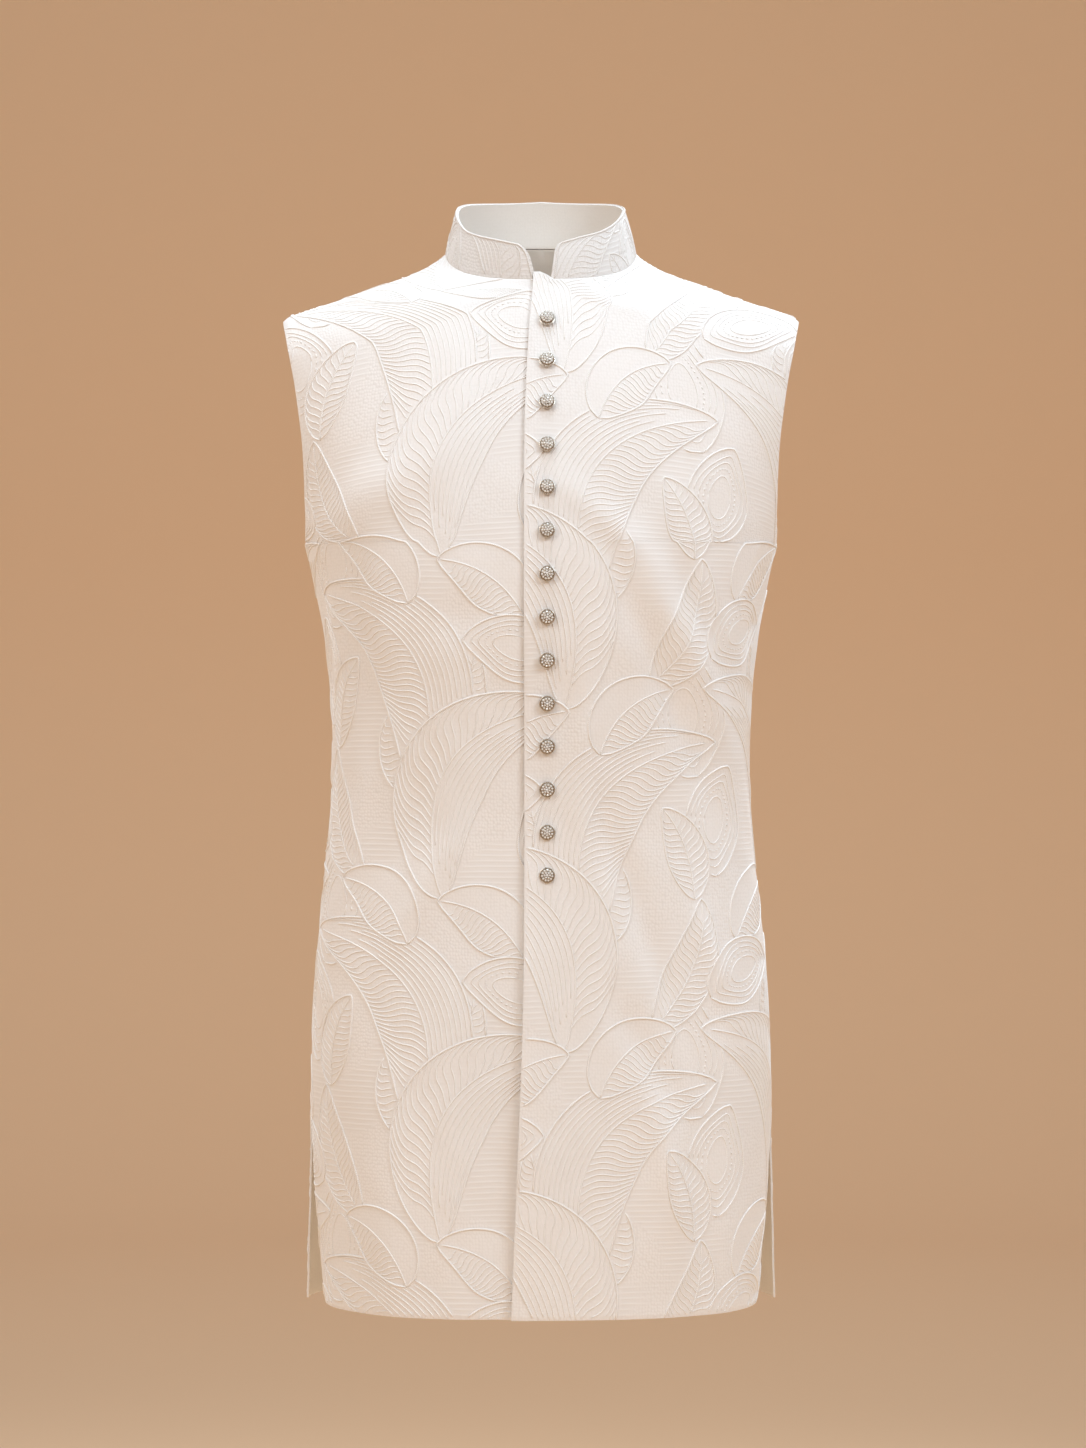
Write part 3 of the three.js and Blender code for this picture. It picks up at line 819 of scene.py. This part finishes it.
def make_cloth(name, points, quads, flat, ground, thick=WALL_THICK, right_side=ivory_cloth):
    mesh = bpy.data.meshes.new(name)
    mesh.from_pydata([tuple(p * MM) for p in points], [], quads)
    layer = mesh.uv_layers.new(name="UVMap")
    loops = np.empty(len(mesh.loops), dtype=np.int32)
    mesh.loops.foreach_get("vertex_index", loops)
    layer.data.foreach_set("uv", (flat[loops] * MM).ravel())
    share = mesh.attributes.new("ground", "FLOAT", "POINT")
    share.data.foreach_set("value", ground)
    mesh.polygons.foreach_set("use_smooth", [True] * len(mesh.polygons))
    mesh.materials.append(right_side)
    mesh.materials.append(cloth_inside)
    piece = bpy.data.objects.new(name, mesh)
    bpy.context.scene.collection.objects.link(piece)
    bpy.ops.object.select_all(action="DESELECT")
    bpy.context.view_layer.objects.active = piece
    piece.select_set(True)
    wall = piece.modifiers.new("wall", "SOLIDIFY")
    wall.thickness = thick * MM
    wall.offset = -1
    wall.use_even_offset = False
    wall.material_offset = 1
    wall.material_offset_rim = 0
    bpy.ops.object.modifier_apply(modifier="wall")
    edges = piece.modifiers.new("edges", "BEVEL")
    edges.width = EDGE_ROUNDING
    edges.segments = 2
    edges.limit_method = "ANGLE"
    edges.angle_limit = math.radians(60)
    bpy.ops.object.modifier_apply(modifier="edges")
    bpy.ops.object.shade_smooth_by_angle(angle=math.radians(50))
    return piece


# The sewn piece stands for its CAD node, and its cords go with it.
def put_in_place(node, cloth, cords):
    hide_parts(node)
    for piece in (cloth, cords):
        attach(piece, "root")


FRONT_COLUMNS = 72


# Sews one front from its grid: the cloth, then the cords of its leaves.
def sew_front(node, grid, across, along, flip, first_leaf):
    points = grid.reshape(-1, 3)
    normals = grid_normals(grid, flip).reshape(-1, 3)
    flat = np.stack([across, along], axis=-1).reshape(-1, 2)
    quads = grid_quads(grid.shape[0], FRONT_COLUMNS + 1, flip=flip)
    leaves = leaves_on(flat.min(axis=0), flat.max(axis=0), first_leaf)
    cloth = make_cloth(node + "_cloth", points, quads, flat, ground_share(flat, leaves))
    runs = visible_runs(leaves)
    cords = sew_cords(node + "_cords", runs, points, normals, flat, quads, cord_thread)
    put_in_place(node, cloth, cords)


left_grid, left_across, left_along = panel_grid(
    NECK_FRONT_HEIGHT, lap_edge, False, FRONT_COLUMNS, FRONT_LEFT_FOLDS
)
round_hem_corner(left_grid)
trim_seams(left_grid, False)
raise_neck_corner(left_grid)
sew_front("front_left", left_grid, left_across, left_along, False, (30, 20))


# Front of the wearer's right side
# The same panel mirrored. It runs on under the left front, so it dips inwards
# near the middle, and the left front's edge throws a thin line of shade on it.
UNDERLAP_X = 16.0
UNDERLAP_DEPTH = 3.4
UNDERLAP_FROM = 34.0
UNDERLAP_TO = 84.0

# across, height, wide, long, out, lean
FRONT_RIGHT_FOLDS = [
    (226, -335, 20, 85, -4, 0.12),
    (205, -560, 26, 80, 3.5, 0.1),
    (120, -820, 34, 110, 3, 0.05),
    (190, -800, 28, 100, -3, 0.08),
    (196, -300, 8, 55, 1.2, 0.2),
    (181, -345, 7, 60, -0.9, 0.25),
    (214, -400, 8, 50, 1.0, -0.2),
    (232, -452, 9, 20, 1.2, -0.8),
    (236, -520, 9, 20, 1.0, 0.8),
    (14, -700, 24, 180, 6.0, -0.03),
    (31, -790, 15, 230, -3.0, -0.042),
    (146, -214, 40, 42, 6.6, -0.95),
    (163, -345, 14, 80, -3.4, 0.1),
    (73, -320, 18, 24, -2.6, 0),
    (168, -500, 12, 60, 3.2, -0.21),
    (107, -561, 15, 48, 3.4, -0.58),
    (114, -493, 14, 52, -3.4, -0.34),
    (73, -596, 20, 42, -2.4, 0),
    (130, -880, 16, 60, 2.0, 0.05),
]


def underlap_sink(x):
    return UNDERLAP_DEPTH * (1 - smoothstep(x, UNDERLAP_FROM, UNDERLAP_TO))


right_grid, right_across, right_along = panel_grid(
    NECK_FRONT_HEIGHT, lambda height: -UNDERLAP_X, False, FRONT_COLUMNS, FRONT_RIGHT_FOLDS
)
right_grid[..., 1] += np.where(right_grid[..., 1] < 0, underlap_sink(right_grid[..., 0]), 0)
round_hem_corner(right_grid)
trim_seams(right_grid, False)
right_grid[..., 0] *= -1
sew_front("front_right", right_grid, right_across, right_along, True, (95, 150))


# Back
# One panel from side seam to side seam, cut in one with both shoulders. It
# hangs straight from the shoulder blades and is embroidered like the fronts.
BACK_COLUMNS = 64
BACK_CORD_STEP = 3.7

# across from the centre, height, wide, long, out, lean
BACK_FOLDS = [
    (60, -800, 32, 150, -4, 0.03),
    (-60, -800, 32, 150, -4, -0.03),
    (128, -760, 34, 140, 4, 0.06),
    (-128, -760, 34, 140, 4, -0.06),
    (90, -470, 60, 26, 3, 0),
    (-90, -470, 60, 26, 3, 0),
    (214, -340, 22, 80, -3.5, 0.1),
    (-214, -340, 22, 80, -3.5, -0.1),
    (20, -438, 90, 11, -2.2, 0.3),
    (-40, -500, 80, 10, 2.0, 0.3),
    (96, -262, 16, 80, 3.4, 0.6),
    (74, -300, 14, 80, -2.8, 0.55),
    (-120, -330, 16, 90, 3.6, -0.5),
    (-98, -352, 14, 90, -3.0, -0.45),
    (60, -590, 14, 80, 2.8, -0.2),
    (150, -570, 16, 64, -3.0, -0.35),
    (-36, -650, 15, 110, -2.6, 0.12),
    (-142, -610, 16, 64, 3.0, 0.4),
    (176, -860, 20, 80, -2.0, 0.05),
    (-90, -868, 18, 70, 2.2, -0.05),
]

back_grid, back_across, back_along = panel_grid(
    NECK_BACK_HEIGHT, lambda height: 0.0, True, BACK_COLUMNS, BACK_FOLDS
)
other_grid, other_across, other_along = panel_grid(
    NECK_BACK_HEIGHT, lambda height: 0.0, True, BACK_COLUMNS, BACK_FOLDS, hand=-1
)
trim_seams(back_grid, True)
trim_seams(other_grid, True)
other_grid[..., 0] *= -1
rows, columns = back_grid.shape[:2]
neck_row = rows - 1 - YOKE_ROWS
back_points = np.concatenate([back_grid.reshape(-1, 3), other_grid.reshape(-1, 3)])
back_flat = np.concatenate([
    np.stack([back_across, back_along], axis=-1).reshape(-1, 2),
    np.stack([-other_across, other_along], axis=-1).reshape(-1, 2),
])
# The two halves share the points of the centre line below the neck.
back_quads = grid_quads(rows, columns, flip=True)
shared = {rows * columns + r * columns: r * columns for r in range(neck_row + 1)}
for quad in grid_quads(rows, columns, first=rows * columns):
    back_quads.append(tuple(shared.get(i, i) for i in quad))
used = sorted({i for quad in back_quads for i in quad})
renumbered = {old: new for new, old in enumerate(used)}
back_quads = [tuple(renumbered[i] for i in quad) for quad in back_quads]
back_normals = np.concatenate([
    grid_normals(back_grid, True).reshape(-1, 3),
    grid_normals(other_grid, False).reshape(-1, 3),
])[used]
back_points = back_points[used]
back_flat = back_flat[used]
back_leaves = leaves_on(back_flat.min(axis=0), back_flat.max(axis=0), (0, 60))
back_cloth = make_cloth(
    "back_cloth", back_points, back_quads, back_flat, ground_share(back_flat, back_leaves)
)
back_cords = sew_cords(
    "back_cords",
    visible_runs(back_leaves, step=BACK_CORD_STEP),
    back_points,
    back_normals,
    back_flat,
    back_quads,
    cord_thread,
)
put_in_place("back", back_cloth, back_cords)


# Collar
# A stand collar: one stiffened band, sewn to the neckline, that leans in a
# little. Its front ends are rounded and stand apart in a narrow V.
COLLAR_TOP_HALF_WIDTH = 74.0
COLLAR_TOP_FRONT = 65.0
COLLAR_TOP_BACK = 60.0
COLLAR_TOP_SHIFT = -3.2
COLLAR_CENTRE_TURN = 1.45
COLLAR_BASE_TURN = 4.35
COLLAR_LEVELS = 18
COLLAR_COLUMNS = 170
COLLAR_WALL = 2.4
COLLAR_SWELL = 0.7
COLLAR_CORD_SHARE = 0.7
RIM_CORD = (2.0, 0.6)

# turn from the centre front, height on the wearer's left, height on the right
COLLAR_TOP_HEIGHT = [
    (0, 1.5, 0),
    (12, 5, 3.5),
    (30, 12, 9),
    (45, 17, 14),
    (59, 24, 20),
    (75, 34, 32),
    (90, 42, 42),
    (120, 51, 51),
    (180, 57, 57),
]

# The opening between the ends grows by a flare and a round corner, in degrees:
# end, flare, corner, level that the corner starts from.
COLLAR_ENDS = {
    "left": (6.2, 3.4, 0.74),
    "right": (3.4, 5.6, 0.62),
}


def end_turn(end, level):
    flare, corner, start = COLLAR_ENDS[end]
    above = max(0, (level - start) / (1 - start))
    return COLLAR_BASE_TURN + flare * level + corner * (1 - math.sqrt(1 - above * above))


collar_top_left = smooth_column(COLLAR_TOP_HEIGHT, 1)
collar_top_right = smooth_column(COLLAR_TOP_HEIGHT, 2)
collar_grid = np.zeros((COLLAR_LEVELS + 1, COLLAR_COLUMNS + 1, 3))
for i in range(COLLAR_LEVELS + 1):
    level = math.sin(math.pi / 2 * i / COLLAR_LEVELS) ** 1.15
    first = COLLAR_CENTRE_TURN + end_turn("left", level)
    last = 360 + COLLAR_CENTRE_TURN - end_turn("right", level)
    for j in range(COLLAR_COLUMNS + 1):
        turn = math.radians(mix(first, last, j / COLLAR_COLUMNS))
        base = neck_point(turn)
        if base[0] < 0 and base[1] < 0:
            base[1] += underlap_sink(-base[0])
        c = math.cos(turn)
        from_front = math.degrees(math.acos(max(-1, min(1, c))))
        side = 0.5 + 0.5 * math.sin(turn)
        side = side * side * (3 - 2 * side)
        height = mix(collar_top_right(from_front), collar_top_left(from_front), side)
        y = -(COLLAR_TOP_FRONT if c > 0 else COLLAR_TOP_BACK) * c
        x = COLLAR_TOP_HALF_WIDTH * math.sin(turn) + COLLAR_TOP_SHIFT * max(0, c) ** 0.5
        collar_grid[i, j] = mix(base, np.array([x, y, height]), level)
        swell = math.sin(math.pi * level) * COLLAR_SWELL
        collar_grid[i, j, :2] *= 1 + swell / 75

collar_across = np.cumsum(np.linalg.norm(np.diff(collar_grid[0], axis=0), axis=1))
collar_across = np.concatenate([[0], collar_across])
collar_flat = np.zeros((COLLAR_LEVELS + 1, COLLAR_COLUMNS + 1, 2))
collar_flat[..., 0] = collar_across[None, :]
climb = np.linalg.norm(np.diff(collar_grid, axis=0), axis=2)
collar_flat[1:, :, 1] = np.cumsum(climb, axis=0)
rim_line = np.concatenate([collar_flat[:-1, 1], collar_flat[-2, 2:-2], collar_flat[-2::-1, -2]])
collar_points = collar_grid.reshape(-1, 3)
collar_flat = collar_flat.reshape(-1, 2)
collar_quads = grid_quads(COLLAR_LEVELS + 1, COLLAR_COLUMNS + 1)
collar_leaves = leaves_on(collar_flat.min(axis=0), collar_flat.max(axis=0), (12, -58), 0.62)
# The collar's cloth and cord are darker copies of the ivory cloth and cord thread. The darker colour
# is painted shade; the denser stitch relief is the collar's own.
dense_cloth_painted_shade = cloth_material(
    "dense_cloth_painted_shade", (0.60, 0.565, 0.54, 1), (0.80, 0.775, 0.755, 1), 0.00046, True
)
dense_thread_painted_shade = cord_material("dense_thread_painted_shade", (0.64, 0.60, 0.565, 1), (0.80, 0.765, 0.735, 1))
collar_cloth = make_cloth(
    "collar_cloth",
    collar_points,
    collar_quads,
    collar_flat,
    ground_share(collar_flat, collar_leaves),
    thick=COLLAR_WALL,
    right_side=dense_cloth_painted_shade,
)
collar_cords = sew_cords(
    "collar_cords",
    visible_runs(collar_leaves, COLLAR_CORD_SHARE) + [(list(rim_line), RIM_CORD)],
    collar_points,
    grid_normals(collar_grid, False).reshape(-1, 3),
    collar_flat,
    collar_quads,
    dense_thread_painted_shade,
)
put_in_place(
    "collar", collar_cloth, collar_cords
)


# Buttons
# Fourteen domed metal buttons in aged silver, each with a beaded rim and small
# clear stones, on a shank that is sewn through the lapped front.
BUTTON_COUNT = 14
BUTTON_X = 5.3
BUTTON_TOP_HEIGHT = -63.0
BUTTON_PITCH = 36.6
BUTTON_STAND_OFF = 0.5
BUTTON_TURN = math.radians(37)


def metal_material(name, dark, bright, roughness):
    material, tree, surface = new_material(name)
    place = add_node(tree, "ShaderNodeTexCoord")
    tarnish = add_node(tree, "ShaderNodeTexNoise")
    tarnish.inputs["Scale"].default_value = 900
    tree.links.new(place.outputs["Object"], tarnish.inputs["Vector"])
    colour_between(tree, surface, tarnish.outputs["Fac"], dark, bright)
    rough = math_node(tree, "MULTIPLY_ADD", tarnish.outputs["Fac"], 0.2, roughness - 0.1)
    tree.links.new(rough, surface.inputs["Roughness"])
    surface.inputs["Metallic"].default_value = 1.0
    return material


bright_silver = metal_material("bright_silver", (0.50, 0.45, 0.38, 1), (0.82, 0.78, 0.72, 1), 0.26)
# The dome under the beads and stones is a darker silver: patina in its hollow, and painted shade.
patina_and_painted_shade_silver = metal_material("patina_and_painted_shade_silver", (0.16, 0.12, 0.085, 1), (0.42, 0.35, 0.27, 1), 0.40)

clear_stone, stone_tree, stone_surface = new_material("clear_stone")
stone_place = add_node(stone_tree, "ShaderNodeTexCoord")
stone_noise = add_node(stone_tree, "ShaderNodeTexNoise")
stone_noise.inputs["Scale"].default_value = 700
stone_tree.links.new(stone_place.outputs["Object"], stone_noise.inputs["Vector"])
colour_between(
    stone_tree, stone_surface, stone_noise.outputs["Fac"], (0.62, 0.60, 0.58, 1), (0.96, 0.95, 0.93, 1)
)
stone_surface.inputs["Roughness"].default_value = 0.06
stone_surface.inputs["IOR"].default_value = 1.9
stone_surface.inputs["Coat Weight"].default_value = 0.6
stone_surface.inputs["Coat Roughness"].default_value = 0.03

# Metres, measured up from the cloth at the button's middle.
DISC_RADIUS = 0.0068
DISC_THICK = 0.0014
DISC_HEIGHT = 0.0021
DOME_RADIUS = 0.0063
DOME_BASE = 0.0025
DOME_CUT = 0.0024
DOME_RISE = 0.0034
STONE_TILT_RADIUS = 0.0078
SHANK_RADIUS = 0.0026
SHANK_LONG = 0.0016

button_parts = []


def button_part(material):
    part = bpy.context.object
    part.data.materials.clear()
    part.data.materials.append(material)
    button_parts.append(part)
    return part


def on_dome(radius):
    return DOME_BASE + DOME_RISE * math.sqrt(1 - (radius / DOME_RADIUS) ** 2)


bpy.ops.object.select_all(action="DESELECT")
bpy.ops.mesh.primitive_cylinder_add(
    vertices=32, radius=DISC_RADIUS, depth=DISC_THICK, location=(0, 0, DISC_HEIGHT)
)
button_part(bright_silver)
bpy.ops.object.mode_set(mode="EDIT")
bpy.ops.mesh.select_all(action="SELECT")
bpy.ops.mesh.bevel(offset=0.00045, segments=2, affect="EDGES")
bpy.ops.object.mode_set(mode="OBJECT")
bpy.ops.mesh.primitive_uv_sphere_add(
    segments=24, ring_count=14, radius=DOME_RADIUS, location=(0, 0, DOME_BASE)
)
dome = button_part(patina_and_painted_shade_silver)
dome.scale = (1, 1, DOME_RISE / DOME_RADIUS)
bpy.ops.object.transform_apply(location=True, rotation=False, scale=True)
bpy.ops.object.mode_set(mode="EDIT")
bpy.ops.mesh.select_all(action="SELECT")
bpy.ops.mesh.bisect(
    plane_co=(0, 0, DOME_CUT), plane_no=(0, 0, 1), use_fill=True, clear_inner=True, clear_outer=False
)
bpy.ops.object.mode_set(mode="OBJECT")

# Beads and cut stones in rings: radius from the middle, count, size, steps
# that the ring is turned by, material.
for ring_radius, count, size, shift, material in (
    (0.0061, 26, 0.00062, 0.0, bright_silver),
    (0.0046, 11, 0.00112, 0.0, clear_stone),
    (0.0047, 11, 0.00052, 0.5, bright_silver),
    (0.0033, 11, 0.00044, 0.5, bright_silver),
    (0.0024, 6, 0.00108, 0.0, clear_stone),
    (0.0025, 6, 0.00042, 0.5, bright_silver),
    (0.0000, 1, 0.00135, 0.0, clear_stone),
):
    for k in range(count):
        turn = 2 * math.pi * (k + shift) / count
        tilt = math.asin(ring_radius / STONE_TILT_RADIUS)
        x = ring_radius * math.cos(turn)
        y = ring_radius * math.sin(turn)
        spot = (x, y, on_dome(ring_radius) + size * 0.25)
        if material is clear_stone:
            bpy.ops.mesh.primitive_cone_add(
                vertices=8, radius1=size, radius2=size * 0.55, depth=size * 0.9, location=spot,
                rotation=(0, tilt, turn),
            )
        else:
            bpy.ops.mesh.primitive_uv_sphere_add(segments=8, ring_count=5, radius=size, location=spot)
        button_part(material)

bpy.ops.mesh.primitive_cylinder_add(
    vertices=16, radius=SHANK_RADIUS, depth=SHANK_LONG, location=(0, 0, SHANK_LONG / 2)
)
button_part(bright_silver)

bpy.ops.object.select_all(action="DESELECT")
for part in button_parts:
    part.select_set(True)
bpy.context.view_layer.objects.active = button_parts[0]
bpy.ops.object.transform_apply(location=True, rotation=True, scale=True)
bpy.ops.object.join()
button_model = bpy.context.object
button_model.name = "button_model"
bpy.ops.object.shade_smooth_by_angle(angle=math.radians(35))

for i in range(BUTTON_COUNT):
    height = BUTTON_TOP_HEIGHT - i * BUTTON_PITCH
    turn = turn_at_x(BUTTON_X, height, False)
    here = section_points(turn, height, False)
    above = section_points(turn, height + 10, False)
    beside = section_points(turn_at_x(BUTTON_X + 10, height, False), height, False)
    normal = Vector(np.cross(beside - here, above - here)).normalized()
    name = f"button_{i + 1:02d}"
    mesh = button_model.data.copy()
    mesh.name = f"silver_{name}"
    spin = Matrix.Rotation(BUTTON_TURN * i, 4, "Z")
    stand = Vector((0, 0, 1)).rotation_difference(normal).to_matrix().to_4x4()
    spot = Matrix.Translation((Vector(here) + normal * BUTTON_STAND_OFF) * MM)
    mesh.transform(spot @ stand @ spin)
    piece = bpy.data.objects.new(f"silver_{name}", mesh)
    bpy.context.scene.collection.objects.link(piece)
    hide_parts(name)
    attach(piece, "root")
bpy.data.objects.remove(button_model)


# Studio
# A pale, warm floor that curves up into a round wall with an open top, far
# enough out that no view is blocked, lit by large soft lights.
FLOOR_HEIGHT = -1.55
FLOOR_RADIUS = 5.2
WALL_CURVE = 1.6
WALL_TOP = 2.6
WALL_SIDES = 72

stage_profile = [(0.0, FLOOR_HEIGHT), (FLOOR_RADIUS, FLOOR_HEIGHT)]
for k in range(1, 13):
    turn = math.radians(90 * k / 12)
    out = FLOOR_RADIUS + WALL_CURVE * math.sin(turn)
    stage_profile.append((out, FLOOR_HEIGHT + WALL_CURVE * (1 - math.cos(turn))))
stage_profile.append((FLOOR_RADIUS + WALL_CURVE, WALL_TOP))
stage_mesh = bpy.data.meshes.new("studio")
stage_bm = bmesh.new()
previous = None
for radius, height in stage_profile:
    ring = []
    for k in range(WALL_SIDES if radius else 1):
        turn = 2 * math.pi * k / WALL_SIDES
        ring.append(stage_bm.verts.new((radius * math.cos(turn), radius * math.sin(turn), height)))
    if previous is not None:
        for k in range(WALL_SIDES):
            nxt = (k + 1) % WALL_SIDES
            if len(previous) == 1:
                stage_bm.faces.new((previous[0], ring[k], ring[nxt]))
            else:
                stage_bm.faces.new((previous[k], ring[k], ring[nxt], previous[nxt]))
    previous = ring
stage_bm.to_mesh(stage_mesh)
stage_bm.free()
stage_mesh.polygons.foreach_set("use_smooth", [True] * len(stage_mesh.polygons))
studio_paint, _, paint_surface = new_material("studio_paint")
paint_surface.inputs["Base Color"].default_value = (0.90, 0.64, 0.42, 1)
paint_surface.inputs["Roughness"].default_value = 0.9
stage_mesh.materials.append(studio_paint)
studio = bpy.data.objects.new("studio", stage_mesh)
bpy.context.scene.collection.objects.link(studio)


# The light is cool from the viewer's right and warm from the left, which gives
# the creases of the white cloth their form.
LIGHT_SPREAD = math.radians(100)


def soft_light(name, place, aim, size, power, colour):
    data = bpy.data.lights.new(name, "AREA")
    data.shape = "DISK"
    data.size = size
    data.energy = power
    data.color = colour
    data.spread = LIGHT_SPREAD
    light = bpy.data.objects.new(name, data)
    light.location = place
    light.rotation_euler = (Vector(aim) - Vector(place)).to_track_quat("-Z", "Y").to_euler()
    light.visible_camera = False
    bpy.context.scene.collection.objects.link(light)


soft_light("front_left_soft", (-2.0, -2.4, 1.2), (0, 0, -0.55), 1.9, 12.6, (1.0, 0.985, 0.955))
soft_light("front_right_soft", (2.2, -2.2, 1.4), (0, 0, -0.55), 1.6, 17.9, (0.785, 0.902, 1.0))
soft_light("top_soft", (0.0, -0.5, 1.7), (0, 0, -0.05), 0.9, 5.0, (0.70, 0.86, 1.0))
soft_light("wall_soft", (0.0, 1.8, 2.2), (0, 6.8, -0.6), 2.0, 10, (1.0, 0.97, 0.94))
soft_light("rear_soft", (1.1, 1.8, 2.2), (0, 0, -0.5), 1.0, 20, (0.86, 0.94, 1.0))
soft_light("rear_low_soft", (-1.5, 2.7, 0.3), (0, 0, -0.5), 1.8, 4.5, (1.0, 0.965, 0.92))
soft_light("side_soft", (-2.1, 0.5, 1.9), (0, 0, -0.5), 1.2, 5.5, (1.0, 0.97, 0.94))
soft_light("other_side_soft", (2.1, 0.5, 1.9), (0, 0, -0.5), 1.2, 6, (0.86, 0.94, 1.0))

world = bpy.data.worlds.new("soft_room")
world.use_nodes = True
world.node_tree.nodes["Background"].inputs["Color"].default_value = (0.92, 0.965, 1.0, 1)
world.node_tree.nodes["Background"].inputs["Strength"].default_value = 0.50
bpy.context.scene.world = world
